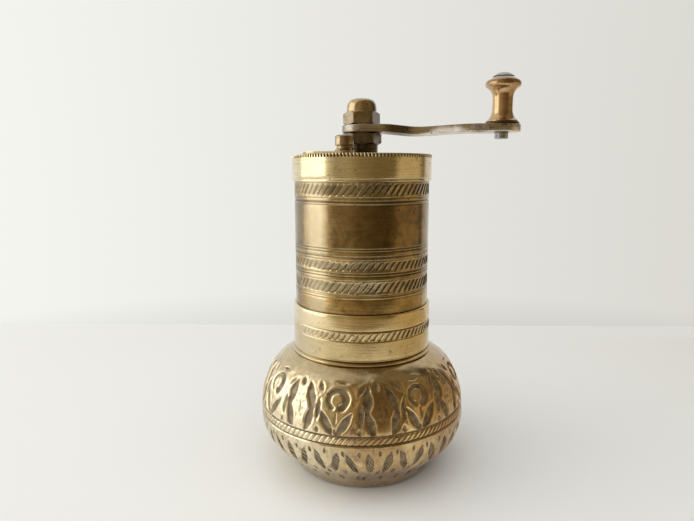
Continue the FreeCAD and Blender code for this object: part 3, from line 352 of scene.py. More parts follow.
bowl_wall, mouth_radius, rim = 1.6, 24.5, (26.9, 46.0)
foot_corner, flank_foot, flank = (25.94, 0.0), (29.22, 1.72), (35.65, 11.0)
belly, shoulder = (39.4, 23.0), (37.2, 35.0)
outline = [rim, *arc(rim, shoulder, -19.82, 40), *arc(shoulder, belly, -33.83, 60), *arc(belly, flank, -21.08, 60)]
outline += [flank_foot, *arc(flank_foot, foot_corner, -4.0, 12), (0.0, 0.0)]
outline = np.array(outline)
runs = np.concatenate([[0], np.cumsum(np.hypot(*np.diff(outline, axis=0).T))])
slope = np.gradient(outline, axis=0)
facing = np.unwrap(np.arctan2(slope[:, 0], -slope[:, 1]))
facing[-2:] = -math.pi / 2


def run_at(level):
    """How far down the bowl's outside a level lies, measured along its outline from the rim."""
    return float(np.interp(-level, -outline[:-1, 1], runs[:-1]))


ring_top, ring_foot, strands, columns_a_strand = run_at(26.0), run_at(23.4), 118, 5
ring_lean, ring_lift, strand_slope = 0.0146, 0.2, 52.0
outer_runs = spaced((0.0, 0.5), (1.2, 0.42), (ring_top - 1.0, 0.25), (ring_foot + 1.0, 0.42), (run_at(8.6), 1.2),
                    (runs[-2] - 1.0, 0.5), (runs[-2] + 1.0, 6.0), (runs[-1], 1.0))
inner_runs = spaced((1.0, 3.5), (run_at(3.0), 1.5), (runs[-2], 6.0), (runs[-1], 1.0))
outer_count = len(outer_runs)
row_runs = np.concatenate([outer_runs[::-1], [0, 0], inner_runs])
row_facing = np.interp(row_runs, runs, facing)
row_depth = np.where(np.arange(len(row_runs)) > outer_count + 1, bowl_wall, 0)
row_radius = np.maximum(np.interp(row_runs, runs, outline[:, 0]) - row_depth * np.cos(row_facing), 0)
row_level = np.interp(row_runs, runs, outline[:, 1]) - row_depth * np.sin(row_facing)
row_radius[outer_count:outer_count + 2] = mouth_radius
row_level[outer_count:outer_count + 2] = rim[1], rim[1] - bowl_wall
row_radius[[0, -1]] = 0

# Cuts, each (across, level, lean, length, width) from the middle of its eighth of the bowl. A leaf stands
# between two pairs of them, a curl with a boss in it stands over two more, and flutes run below the ring.
eighths = 8
pitch = math.tau / eighths
leaf_at, leaf_half, stem_half, curl_at, flute_gap = -7.7, 4.2, 3.1, 6.1, 5.9
main_cuts = [(leaf_at + side * leaf_half, level, -side * lean, 10.8, 3.1)
             for side in (-1, 1) for level, lean in ((37.6, 14), (30.6, -14))]
main_cuts += [(curl_at + side * stem_half, 30.2, side * 31, 10.2, 3.0) for side in (-1, 1)]
flutes = [(flute_gap * place, 16.0, -16 if place % 2 == 0 else 11, 10.6, 3.0) for place in range(-2, 3)]
darts = [(-0.1, 34.4, 7, 7.6, 1.9), (14.6, 33.4, -4, 8.2, 2.1), (-0.1, 27.9, 0, 2.6, 1.6),
         (14.8, 27.9, 0, 2.6, 1.6), (-7.7, 41.4, 0, 3.4, 1.7), (curl_at, 42.4, 90, 4.6, 1.1),
         (13.4, 40.6, 20, 3.8, 1.4), (-0.4, 41.0, -20, 3.8, 1.4)]
veins = [(leaf_at, 34.3, 0, 10.4, 0.7), (curl_at, 32.4, 0, 5.4, 0.7), (curl_at, 27.9, 0, 2.6, 1.1)]
veins += [(leaf_at + side * 1.15, level, side * 48, 2.7, 0.6)
          for side in (-1, 1) for level in (31.4, 33.6, 35.8, 38.0)]
low_darts = [(flute_gap * (place + 0.5), 11.6, 4, 3.8, 1.5) for place in range(-2, 2)]
low_darts += [(flute_gap * place, 7.4, 9 if place % 2 == 0 else -12, 4.6, 1.7) for place in range(-2, 3)]
low_darts += [(flute_gap * (place + 0.5), 20.3, -6, 2.8, 1.3) for place in range(-2, 3)]
curl_level, curl_radius, curl_width = 37.7, 3.1, 2.3
ground_depth, dart_depth, fine_depth, strand_depth, lip_height, hammering = 0.5, 0.32, 0.2, 0.42, 0.14, 0.05
ring_lines = [(ring_top - 0.35, 0.26, 0.45), (ring_foot + 0.25, 0.24, 0.40), (ring_foot + 1.15, 0.2, 0.12)]

# Hammering drew the foot in a little, least at foot_full_side and twice foot_draw across from there.
foot_draw, foot_full_side, foot_draw_top = 1.1, 55.0, 15.0


def cut_round(angles, x_scale, run, cuts, seed, looseness=1.0):
    """Least signed distance to the cuts round the bowl. Each was struck by hand, so each differs a little."""
    place = np.floor(angles / pitch)
    luck = np.random.default_rng(seed).uniform(-looseness, looseness, (eighths, len(cuts), 3))
    nearest = np.full_like(angles, 99.0)
    for step in (-1, 0, 1):
        number = np.mod(place + step, eighths).astype(int)
        x = (angles - (place + step + 0.5) * pitch) * x_scale
        for index, (across, level, lean, length, width) in enumerate(cuts):
            slip, tip, swell = luck[number, index].T
            turn = np.radians(lean + 4 * tip)
            dx, dy = x - across - 0.25 * slip, run_at(level) - run - 0.2 * tip
            along, side = dx * np.sin(turn) + dy * np.cos(turn), dx * np.cos(turn) - dy * np.sin(turn)
            half_length, half_width = length / 2, width / 2 * (1 + 0.08 * swell)
            sweep = (half_length ** 2 + half_width ** 2) / (2 * half_width)
            nearest = np.minimum(nearest, np.hypot(np.abs(side) + sweep - half_width, along) - sweep)
    return nearest


def curl_round(angles, x_scale, run):
    """Least signed distance to the curls' grooves round the bowl, arcs that narrow to half their width."""
    dx = (np.mod(angles, pitch) - pitch / 2) * x_scale - curl_at
    dy = run_at(curl_level) - run
    start, span = math.radians(-60), math.radians(305)
    turn = np.mod(np.arctan2(dy, dx) - start, math.tau)
    share = np.where(turn <= span, turn / span, np.where(turn - span < math.tau - turn, 1.0, 0.0))
    at = start + share * span
    return np.hypot(dx - curl_radius * np.cos(at), dy - curl_radius * np.sin(at)) - curl_width * (1.1 - 0.5 * share) / 2


def hammered(angles, run):
    """Low waves that the hammer left, in mm."""
    return hammering * (1.6 - np.sin(7 * angles + 0.31 * run) * np.sin(0.42 * run + 3 * angles + 1) -
                        0.6 * np.sin(17 * angles - 0.5 * run + 2) * np.sin(0.7 * run - 5 * angles))


def cut_lines(level, lines):
    """Depth of turned lines, each (level, half width, depth); a negative depth is a raised bead."""
    return sum(deep * np.exp(-((level - at) / width) ** 2) for at, width, deep in lines)


def bowl_shape(rows, angles):
    """Where the bowl's vertices go: its ring tilted, its foot drawn in, its sprigs, gouges and ring chased."""
    run, plain_facing = row_runs[rows], row_facing[rows]
    radius, level = row_radius[rows], row_level[rows]
    outer = rows < outer_count
    drawn_in = foot_draw * (1 - np.cos(angles - math.radians(foot_full_side)))
    slant = np.clip(run - ring_top, 0, ring_foot - ring_top) / math.tan(math.radians(strand_slope))
    turn = -slant / belly[0] * outer
    real = angles + turn
    hold = smooth_step(3, 14, run) * (1 - smooth_step(run_at(15.0), run_at(9.0), run)) * outer
    moved = run - (ring_lift + ring_lean * radius * np.cos(real)) * hold
    radius = np.where(outer, np.interp(moved, runs, outline[:, 0]), radius)
    level = np.where(outer, np.interp(moved, runs, outline[:, 1]), level)
    shaky = real + 0.0022 * np.sin(23 * real + run) + 0.0015 * np.sin(0.9 * run + 31 * real)
    struck = run + 0.2 * np.sin(9 * real)

    def sunk(distance, soft):
        """1 in a cut and 0 outside it, with a side as wide as soft."""
        return 1 - smooth_step(-soft, 0.05, distance)

    main, low, small, small_low, fine = (
        cut_round(shaky, radius, struck, cuts, seed, looseness) for cuts, seed, looseness in
        ((main_cuts, 3, 1.0), (flutes, 7, 1.3), (darts, 11, 1.0), (low_darts, 9, 1.3), (veins, 5, 1.0)))
    cut = np.minimum(np.minimum(main, curl_round(shaky, radius, struck)), low)
    dart = np.minimum(small, small_low)
    clear = smooth_step(1.6, 2.4, run) * (1 - smooth_step(ring_top - 1.2, ring_top - 0.6, run))
    clear += smooth_step(ring_foot + 0.8, ring_foot + 1.3, run) * outer
    ground = sunk(cut + 0.1 * np.sin(41 * real) * np.sin(2.1 * run), 0.4)
    dart_ground = sunk(dart, 0.4) * (1 - ground)
    fine_ground = sunk(fine, 0.25) * (1 - ground) * (1 - dart_ground)
    ground, dart_ground, fine_ground = ground * clear, dart_ground * clear, fine_ground * clear
    near = np.minimum(cut, dart)
    lip = lip_height * smooth_step(0.0, 0.5, near) * (1 - smooth_step(0.5, 1.8, near)) * clear

    strand = np.abs(np.mod(angles * strands / math.tau, 1.0) * 2 - 1)
    across = np.clip((run - ring_top) / (ring_foot - ring_top), 0, 1) * 2 - 1
    roundness = np.sqrt(np.maximum(1 - strand ** 2.6, 0)) * np.sqrt(np.maximum(1 - across ** 4, 0))
    ring = strand_depth * (1 - roundness) * ((run > ring_top) & (run < ring_foot))
    lines = cut_lines(run, ring_lines)
    dip = ground_depth * ground + dart_depth * dart_ground + fine_depth * fine_ground - lip + ring + lines
    dip = outer * (dip + np.where(run < runs[-2] - 3, hammered(real, run), 0))
    radius = radius - dip * np.cos(plain_facing)
    radius = radius * (1 - drawn_in / foot_corner[0] * (1 - smooth_step(3.0, foot_draw_top, level)))
    level = np.maximum(level - dip * np.sin(plain_facing), 0)
    relief = 1 - np.clip(ground + 0.95 * dart_ground + 0.66 * fine_ground + 1.2 * ring + 1.6 * lines, 0, 1)
    return radius, level, turn, np.where(outer, relief, 0.5)


def new_group(name, inputs, outputs):
    """A shader node group. Inputs are (name, kind, default) and outputs (name, kind)."""
    group = bpy.data.node_groups.new(name, "ShaderNodeTree")
    for label, kind, default in inputs:
        socket = group.interface.new_socket(label, in_out="INPUT", socket_type="NodeSocket" + kind)
        if default is not None:
            socket.default_value = default
    for label, kind in outputs:
        group.interface.new_socket(label, in_out="OUTPUT", socket_type="NodeSocket" + kind)
    return group, group.nodes.new("NodeGroupInput").outputs, group.nodes.new("NodeGroupOutput").inputs


def tinted(tree, tone, tint):
    """A colour times another."""
    return blend(tree, 1.0, tone, tint, "MULTIPLY")


# Ageing: brass browns in soft patches, with small dark specks, and stays bright between the patches.
ageing, given, result = new_group(
    "ageing",
    [("Vector", "Vector", None), ("Bright", "Color", None), ("Aged", "Color", None), ("Speck", "Color", None),
     ("Age", "Float", 0.5), ("Patch Size", "Float", 0.01)],
    [("Color", "Color"), ("Tarnish", "Float")])
tree, spot = ageing, given["Vector"]
scale = maths(tree, 1.0, "/", given["Patch Size"])
patches = maths(tree, noise(tree, spot, scale, 5.0, Roughness=0.62, Distortion=0.4), "-", 0.5)
tarnish = maths(tree, maths(tree, patches, "*", 2.6), "+", given["Age"], True)
fine = maths(tree, noise(tree, spot, maths(tree, scale, "*", 9.0), 3.0), "-", 0.5)
mottled = maths(tree, tarnish, "+", maths(tree, fine, "*", 0.5), True)
specks = noise(tree, spot, maths(tree, scale, "*", 5.0), 2.0, Distortion=0.6)
specks = maths(tree, rescale(tree, specks, 0.66, 0.74), "*", 0.7)
tone = blend(tree, specks, blend(tree, mottled, given["Bright"], given["Aged"]), given["Speck"])
tree.links.new(tone, result["Color"])
tree.links.new(tarnish, result["Tarnish"])

# Handling: long fine scratches one way, shorter ones across them, and a soft grain.
handling, given, result = new_group("handling", [("Vector", "Vector", None), ("Stretch", "Vector", (1, 1, 1)),
                                                 ("Scratch Size", "Float", 0.001)], [("Height", "Float")])
tree, spot = handling, given["Vector"]
scale = maths(tree, 1.0, "/", given["Scratch Size"])
long_way = put(tree, "VectorMath", {0: spot, 1: given["Stretch"]}, operation="MULTIPLY").outputs[0]
scratches = maths(tree, noise(tree, long_way, scale, 4.0, Roughness=0.7), "*", 0.75)
grain = maths(tree, noise(tree, spot, scale, 2.0), "*", 0.25)
tree.links.new(maths(tree, scratches, "+", grain), result["Height"])

# The bowl's raised metal is clouded and stained. A painted highlight makes it pale on the left, a painted
# warm reflection makes it golden on the right, and painted shade darkens it under the collar. Its sunk ground
# is hatched, punched and dark, and a dark line runs along the edges of the cuts.
chased_brass = bpy.data.materials.new("chased_brass")
tree = nodes_of(chased_brass)
spot = place_in(tree)
across, level = part(tree, spot, "X"), part(tree, spot, "Z")
relief = put(tree, "Attribute", attribute_name="relief").outputs["Fac"]
raised = rescale(tree, relief, 0.25, 0.8)
sunken = maths(tree, 1.0, "-", raised)
skin = put(tree, "Group", {"Vector": spot, "Bright": (0.78, 0.63, 0.36, 1), "Aged": (0.46, 0.31, 0.14, 1),
                           "Speck": (0.14, 0.08, 0.04, 1), "Age": 0.45, "Patch Size": 0.012},
           node_tree=ageing).outputs
marks = put(tree, "Group", {"Vector": spot, "Stretch": (1, 1, 0.25), "Scratch Size": 0.0012},
            node_tree=handling).outputs["Height"]
clouds = noise(tree, spot, 55.0, 3.0, Distortion=0.6)
clouds = ramp(tree, clouds, [(0.38, (1.0, 1.0, 1.0)), (0.62, (0.66, 0.58, 0.50))])
# A painted highlight: the left side is blended towards a pale tone.
left_highlight = tones_along(tree, across, -40, 40, [(-37, 0.2), (-31, 0.75), (-17, 0.75), (-7, 0.0)])
# A painted warm reflection: the right side, ground too, is tinted golden and a little brighter.
warm_right_reflection = tones_along(tree, across, -40, 40, [(-8, (1.0, 1.0, 1.0)), (6, (1.06, 1.00, 0.88)),
                                                (30, (1.10, 1.00, 0.84))])
stains = rescale(tree, noise(tree, spot, 210.0, 4.0, Distortion=0.8), 0.60, 0.70)
blotches = rescale(tree, noise(tree, spot, 150.0, 5.0, Roughness=0.7, Distortion=1.4), 0.44, 0.60)
on_shoulder = rescale(tree, level, 35 * mm, 42 * mm, 0.22, 0.65)
# Painted shade: the shoulder is darkened towards the foot of the collar.
shade_under_collar = rescale(tree, level, 39 * mm, 44 * mm, 0.0, 0.75)
plain = blend(tree, left_highlight, tinted(tree, skin["Color"], clouds), (0.90, 0.79, 0.55))
plain = tinted(tree, plain, warm_right_reflection)
for share, stain_and_shade in ((maths(tree, stains, "*", 0.7), (0.22, 0.13, 0.085)),
                     (maths(tree, blotches, "*", on_shoulder), (0.24, 0.165, 0.10)),
                     (rescale(tree, marks, 0.36, 0.50, 0.5, 0.0), (0.22, 0.145, 0.085)),
                     (shade_under_collar, (0.42, 0.32, 0.18))):
    plain = blend(tree, share, plain, stain_and_shade)
hatching = put(tree, "TexWave", {"Vector": spot, "Scale": 640.0, "Distortion": 2.5, "Detail": 2.0},
               bands_direction="DIAGONAL").outputs["Fac"]
ground = maths(tree, noise(tree, spot, 420.0, 3.0), "*", 0.65)
ground = ramp(tree, maths(tree, ground, "+", maths(tree, hatching, "*", 0.35)),
              [(0.32, (0.040, 0.028, 0.019)), (0.48, (0.150, 0.115, 0.075)), (0.68, (0.47, 0.38, 0.25))])
edge = ramp(tree, relief, [(0.0, 0.0), (0.22, 0.0), (0.42, 1.0), (0.62, 0.0), (1.0, 0.0)])
# Painted light brightens the upper belly and shoulder; towards the foot the metal is darker.
by_height = tones_along(tree, level, 0, 46, [
    (0, (0.60, 0.56, 0.50)), (4, (0.80, 0.76, 0.70)), (10, (1.0, 0.98, 0.94)), (20, (1.04, 1.04, 1.03)),
    (27, (1.20, 1.19, 1.16))])
tone = blend(tree, raised, tinted(tree, ground, warm_right_reflection), plain)
tone = blend(tree, maths(tree, edge, "*", 0.8), tone, (0.05, 0.033, 0.018))
punches = put(tree, "TexVoronoi", {"Vector": spot, "Scale": 1500.0}, feature="F1").outputs["Distance"]
punches = maths(tree, maths(tree, punches, "+", hatching), "*", sunken)
height = maths(tree, maths(tree, marks, "*", 0.35), "+", maths(tree, punches, "*", 0.9))
bump = put(tree, "Bump", {"Height": height, "Strength": 0.55, "Distance": 0.00012})
rough = rescale(tree, skin["Tarnish"], 0.0, 1.0, 0.13, 0.36)
end_with(tree, "BsdfPrincipled", {
    "Base Color": tinted(tree, tone, by_height), "Roughness": maths(tree, rough, "+", maths(tree, sunken, "*", 0.25)),
    "Metallic": rescale(tree, raised, 0.0, 1.0, 0.88, 1.0), "Coat Weight": rescale(tree, raised, 0.0, 1.0, 0.1, 0.4),
    "Coat Roughness": 0.2, "Coat IOR": 1.7, "Normal": bump.outputs["Normal"]})

bm = spin_profile(list(zip(row_radius, row_level)), strands * columns_a_strand)
chase(bm, bowl_shape)
finish_piece(bm, "bowl_shell", "bowl", chased_brass, ["bowl"])


# --------------------------------------------------
# Neck collar: a turned brass ring, soldered on the bowl's shoulder, which the mill plugs into.
# A rope band is chased round it below a cut line, and its foot is a small bead.

def rope_strokes(level, angles, band, strokes, rake, radius, depth):
    """Depth of a band of slanting chased strokes, and how far its columns turn to follow them."""
    low, high = band
    number = np.floor(np.mod(angles * strokes / math.tau, strokes)).astype(int)
    phase = np.mod(angles * strokes / math.tau, 1.0)
    luck = np.random.default_rng(int(low * 10))
    ends, pressure = luck.uniform(0, 0.45, (2, strokes)), luck.uniform(0.8, 1.1, strokes)
    cut = np.interp(phase, [0.0, 0.12, 0.25, 0.38, 0.5, 0.63, 0.75, 0.88, 1.0],
                    [0.95, 0.9, 0.0, 0.1, 0.26, 0.24, 0.42, 0.62, 0.95])
    inside = np.clip((level - low - ends[0][number]) / 0.3, 0, 1)
    inside = inside * np.clip((high - ends[1][number] - level) / 0.3, 0, 1)
    turn = np.clip(level - low, 0, high - low) / (radius * math.tan(math.radians(rake)))
    return depth * cut * pressure[number] * inside, turn


collar_foot, collar_top, collar_bore, collar_radius = 46.0, 64.3, 24.5, 26.2
collar_outline = np.array([(46.0, 26.5), (46.2, 26.8), (46.6, 26.92), (47.0, 26.85), (47.25, 26.4), (47.4, 26.18),
                           (63.9, collar_radius), (64.15, 26.08), (64.3, 25.8)])
collar_band, collar_strokes, collar_columns, collar_rake = (55.05, 58.05), 75, 8, 56.0
stroke_depth, nick_depth, nick_width, waviness = 0.34, 0.22, 0.3, 0.03
collar_lines = [(58.4, 0.2, 0.3), (54.95, 0.14, 0.16), (47.45, 0.22, 0.22), (48.3, 0.16, 0.05)]
collar_levels = spaced((46.0, 0.1), (47.4, 0.14), (48.6, 1.2), (54.4, 0.14), (55.1, 0.3), (58.0, 0.14), (58.9, 1.1),
                       (63.9, 0.12), (64.3, 0.1))
collar_nicks = [(-136, 50.6, 2.2, 60), (-131, 51.2, 1.6, 75), (-128, 50.0, 2.4, 48), (-124, 51.0, 1.4, 70)]
collar_outer = len(collar_levels)
collar_profile = [(float(np.interp(z, *collar_outline.T)), z) for z in collar_levels]
collar_profile += [(collar_bore + 0.3, collar_top), (collar_bore, collar_top - 0.3), (collar_bore, collar_foot)]
collar_rows = np.array(collar_profile)


def collar_shape(rows, angles):
    """Where the collar's vertices go."""
    radius, level = collar_rows[rows].T
    outer = rows < collar_outer
    dip, turn = rope_strokes(level, angles, collar_band, collar_strokes, collar_rake, collar_radius, stroke_depth)
    dip = (dip + cut_lines(level, collar_lines)) * outer
    turn = np.where(outer, turn, 0)
    real = angles + turn
    for bearing, at, length, lean in collar_nicks:
        x, y = (real - math.radians(bearing)) * collar_radius, level - at
        lean = math.radians(lean)
        along, side = x * math.sin(lean) + y * math.cos(lean), x * math.cos(lean) - y * math.sin(lean)
        dip += outer * nick_depth * np.exp(-(side / nick_width) ** 2 - (along / length * 2) ** 4)
    relief = 1 - np.clip(dip / stroke_depth, 0, 1)
    dip += outer * waviness * (1 + np.sin(5 * real + 0.2 * level) * np.sin(0.35 * level + 2 * real))
    return radius - dip, level, turn, relief


# Edge wear: where a bevelled corner would turn away from the surface, the metal is rubbed bright.
edge_wear, given, result = new_group("edge_wear", [("Vector", "Vector", None), ("Width", "Float", 0.0003)],
                                     [("Mask", "Float")])
tree = edge_wear
softened = put(tree, "Bevel", {"Radius": given["Width"]}, samples=6).outputs["Normal"]
square_on = put(tree, "NewGeometry").outputs["Normal"]
likeness = put(tree, "VectorMath", {0: softened, 1: square_on}, operation="DOT_PRODUCT").outputs["Value"]
corner = maths(tree, maths(tree, 1.0, "-", likeness), "*", 14.0, True)
patchy = maths(tree, noise(tree, given["Vector"], 450.0, 3.0), "+", 0.35)
tree.links.new(maths(tree, corner, "*", patchy, True), result["Mask"])

# Hollow darkening: oil and dust that stay in corners and cuts, with painted shade there, found by ambient occlusion.
hollow_dust_and_shade, given, result = new_group("hollow_dust_and_shade", [("Vector", "Vector", None), ("Reach", "Float", 0.001)],
                                        [("Mask", "Float")])
tree = hollow_dust_and_shade
open_sky = put(tree, "AmbientOcclusion", {"Distance": given["Reach"]}, samples=6).outputs["AO"]
shut = maths(tree, maths(tree, 1.0, "-", open_sky), "*", 1.7)
patchy = maths(tree, noise(tree, given["Vector"], 300.0, 3.0), "+", 0.4)
tree.links.new(maths(tree, shut, "*", patchy, True), result["Mask"])


def metal_skin(name, bright, aged, dirt_and_shade, age, patch, gloss, stretch=(1.0, 1.0, 1.0), scratch=0.0005, cut=0.3,
               relief=0.0, film=0.0):
    """A worked metal: gloss is its roughness where bright and where aged, cut the strength of its scratches."""
    material = bpy.data.materials.new(name)
    tree = nodes_of(material)
    spot = place_in(tree)
    skin = put(tree, "Group", {"Vector": spot, "Bright": (*bright, 1), "Aged": (*aged, 1), "Speck": (*dirt_and_shade, 1),
                               "Age": age, "Patch Size": patch}, node_tree=ageing).outputs
    marks = put(tree, "Group", {"Vector": spot, "Stretch": stretch, "Scratch Size": scratch},
                node_tree=handling).outputs["Height"]
    worn, dust_and_shade = (put(tree, "Group", {"Vector": spot}, node_tree=group).outputs["Mask"]
                   for group in (edge_wear, hollow_dust_and_shade))
    if relief:
        sunk = maths(tree, 1.0, "-", put(tree, "Attribute", attribute_name="relief").outputs["Fac"])
        dust_and_shade = maths(tree, dust_and_shade, "+", maths(tree, sunk, "*", relief), True)
    tone = blend(tree, rescale(tree, marks, 0.36, 0.52, 0.32, 0.0), skin["Color"], dirt_and_shade)
    tone = blend(tree, maths(tree, worn, "*", 0.8), tone, bright)
    # Dust and painted shade: the colour darkens in hollows and, with relief, in sunk cuts.
    tone = blend(tree, maths(tree, dust_and_shade, "*", 0.85), tone, dirt_and_shade)
    uneven = maths(tree, maths(tree, marks, "-", 0.5), "*", 0.22)
    rough = maths(tree, rescale(tree, skin["Tarnish"], 0.0, 1.0, *gloss), "+", uneven)
    rough = maths(tree, rough, "+", maths(tree, dust_and_shade, "*", 0.25), True)
    bump = put(tree, "Bump", {"Height": marks, "Strength": cut, "Distance": 0.00008})
    end_with(tree, "BsdfPrincipled", {
        "Base Color": tone, "Roughness": rough, "Metallic": 1.0, "Coat Weight": film, "Coat Roughness": 0.15,
        "Coat IOR": 1.7, "Normal": bump.outputs["Normal"]})
    return material


def recolour(tree, share, tone, mode="MIX"):
    """Works a further tone into a metal's colour."""
    colour = tree.nodes["Principled BSDF"].inputs["Base Color"]
    tree.links.new(blend(tree, share, colour.links[0].from_socket, tone, mode), colour)


def shade_along(material, axis, low, high, stops, laid_tone=None):
    """Tints a metal along X or Z, as its tone and as painted light and shade. Stops are (place in mm, tint), or (place,
    share) of a tone laid over it.
    """
    tree = material.node_tree
    tones = tones_along(tree, part(tree, place_in(tree), axis), low, high, stops)
    if laid_tone:
        recolour(tree, tones, laid_tone)
    else:
        recolour(tree, 1.0, tones, "MULTIPLY")


collar_metal = metal_skin("turned_pale_brass", (0.74, 0.59, 0.33), (0.54, 0.39, 0.185), (0.10, 0.065, 0.03), age=0.42,
                          patch=0.014, gloss=(0.13, 0.24), stretch=(0.04, 0.04, 1.0), relief=0.75, film=0.5)
# Painted light and a painted warm reflection: the collar is brightened, and turns warmer and less bright towards the
# right.
shade_along(collar_metal, "X", -27, 27, [(-8, (1.12, 1.12, 1.08)), (4, (1.10, 1.04, 0.90)), (20, (1.04, 0.95, 0.80))])
# A painted highlight: the left edge is blended towards a pale tone.
shade_along(collar_metal, "X", -27, 27, [(-27, 0.6), (-18, 0.6), (-13, 0.1), (-8, 0.0)], (0.76, 0.66, 0.47))
# Painted shade below the chased band and painted light above it.
shade_along(collar_metal, "Z", 46, 64.3, [(54.2, (0.86, 0.84, 0.76)), (58.6, (1.07, 1.07, 1.05))])
bm = spin_profile(collar_profile, collar_strokes * collar_columns, closed=True)
chase(bm, collar_shape)
finish_piece(bm, "collar_ring", "bowl", collar_metal, ["neck_collar"])


# --------------------------------------------------
# Mill tube: a turned brass tube that holds the seed. Three rope bands and pairs of lines run round it,
# with a browned plain zone between. Its thinner spigot, below, is drilled for the ring's grub screws.

def carve(bm, *tools):
    """The skin with the tools' shapes cut out of it."""
    solids = []
    for shape in (bm, *tools):
        mesh = bpy.data.meshes.new("cut")
        bmesh.ops.recalc_face_normals(shape, faces=shape.faces)
        shape.to_mesh(mesh)
        shape.free()
        solids.append(bpy.data.objects.new("cut", mesh))
        scene.collection.objects.link(solids[-1])
    for tool in solids[1:]:
        modifier = solids[0].modifiers.new("cut", "BOOLEAN")
        modifier.operation, modifier.solver, modifier.object = "DIFFERENCE", "EXACT", tool
    carved = bmesh.new()
    carved.from_object(solids[0], bpy.context.evaluated_depsgraph_get())
    for solid in solids:
        bpy.data.objects.remove(solid)
    return carved


def rod(radius, length, matrix, segments=40):
    """A closed cylinder centred on its matrix, along that matrix's own Z."""
    bm = bmesh.new()
    bmesh.ops.create_cone(bm, cap_ends=True, segments=segments, radius1=radius, radius2=radius, depth=length,
                          matrix=matrix)
    return bm


tube_radius, tube_foot, tube_top, tube_bore = 25.25, 64.3, 117.2, 23.6
seat_bore, seat_low, seat_high, spigot_bore, spigot_radius, spigot_foot = 21.45, 67.0, 70.0, 22.75, 24.4, 49.0
tube_bands, tube_strokes, tube_columns = [(71.6, 75.8), (79.4, 82.8), (104.8, 109.2)], 67, 8
tube_rake, tube_stroke_depth, band_depth = 54.0, 0.42, 0.07
tube_lines = [(109.45, 0.16, 0.12), (104.35, 0.2, 0.16), (103.0, 0.28, 0.36), (102.45, 0.16, -0.05),
              (101.95, 0.18, 0.14), (87.45, 0.2, -0.05), (87.0, 0.2, 0.2), (86.05, 0.2, 0.26), (84.34, 0.22, 0.26),
              (83.9, 0.16, -0.04), (83.2, 0.16, 0.1), (78.5, 0.2, 0.26), (78.0, 0.2, -0.05), (77.5, 0.22, 0.28),
              (76.2, 0.16, 0.1), (71.2, 0.16, 0.14), (70.65, 0.18, 0.16), (70.15, 0.2, -0.05), (69.65, 0.2, 0.16)]
tube_levels = spaced((64.3, 0.2), (64.7, 1.5), (69.2, 0.18), (71.4, 0.36), (76.0, 0.17), (78.9, 0.36), (83.0, 0.18),
                     (87.9, 1.6), (101.5, 0.16), (104.7, 0.38), (109.4, 0.3), (110.0, 1.8), (116.9, 0.15), (117.2, 1.0))
tube_outer = len(tube_levels)
tube_profile = [(tube_radius, z) for z in tube_levels]
tube_profile[0] = (tube_radius - 0.25, tube_foot)
tube_profile[-1] = (tube_radius - 0.25, tube_top)
tube_profile += [(tube_bore + 0.3, tube_top), (tube_bore, tube_top - 0.3), (tube_bore, 108.0), (tube_bore, 90.0),
                 (tube_bore, seat_high + 2.15), (seat_bore, seat_high), (seat_bore, seat_low),
                 (spigot_bore, seat_low), (spigot_bore, tube_foot)]
tube_rows = np.array(tube_profile)


def tube_shape(rows, angles):
    """Where the tube's vertices go."""
    radius, level = tube_rows[rows].T
    outer = rows < tube_outer
    dip, turn = cut_lines(level, tube_lines), np.zeros_like(level)
    for band in tube_bands:
        strokes, lean = rope_strokes(level, angles, band, tube_strokes, tube_rake, tube_radius, tube_stroke_depth)
        sunk = band_depth * (level > band[0]) * (level < band[1])
        dip, turn = dip + strokes + sunk, turn + lean
    dip, turn = dip * outer, turn * outer
    relief = 1 - np.clip(dip / tube_stroke_depth, 0, 1)
    real = angles + turn
    dip += outer * waviness * (1 + np.sin(3 * real + 0.15 * level) * np.sin(0.23 * level + 4 * real + 1))
    return radius - dip, level, turn, relief


# The tube's skin is browned in the plain zone, golden at the foot, and greyer where it is chased.
tube_metal = metal_skin("browned_turned_brass", (0.66, 0.515, 0.275), (0.37, 0.245, 0.10), (0.06, 0.042, 0.024),
                        age=0.52, patch=0.012, gloss=(0.14, 0.28), stretch=(0.035, 0.035, 1.0), scratch=0.0006,
                        cut=0.4, relief=0.85, film=0.4)
lined_zone, chased_zone = (1.02, 0.96, 0.86), (1.42, 1.48, 1.75)
shade_along(tube_metal, "Z", tube_foot, tube_top, [
    (64.3, (1.15, 1.04, 0.86)), (69.4, (1.15, 1.04, 0.86)), (71.3, lined_zone), (71.7, chased_zone),
    (75.7, chased_zone), (76.1, lined_zone), (79.1, lined_zone), (79.5, chased_zone), (82.7, chased_zone),
    (83.1, lined_zone), (86.5, (0.92, 0.86, 0.78)), (88, (0.68, 0.60, 0.50)), (101.5, (0.60, 0.51, 0.42)),
    (102.6, lined_zone), (104.5, lined_zone), (104.9, chased_zone), (109, chased_zone)])
tree = tube_metal.node_tree
stains = noise(tree, place_in(tree), 190.0, 4.0, Distortion=1.2)
stains = ramp(tree, stains, [(0.40, (1.06, 1.06, 1.04)), (0.52, (0.92, 0.92, 0.84)), (0.66, (0.66, 0.68, 0.60))])
recolour(tree, 1.0, stains, "MULTIPLY")
# Painted light and shade across the tube: darker at its left edge and from the middle rightwards, lightest between 16
# and 6 mm left of the axis.
shade_along(tube_metal, "X", -25, 25, [
    (-25, (0.56, 0.50, 0.42)), (-20, (0.76, 0.72, 0.66)), (-16, (1.05, 1.05, 1.05)), (-6, (1.05, 1.05, 1.05)),
    (4, (0.78, 0.78, 0.76)), (12, (0.76, 0.71, 0.60)), (22, (0.80, 0.74, 0.62))])
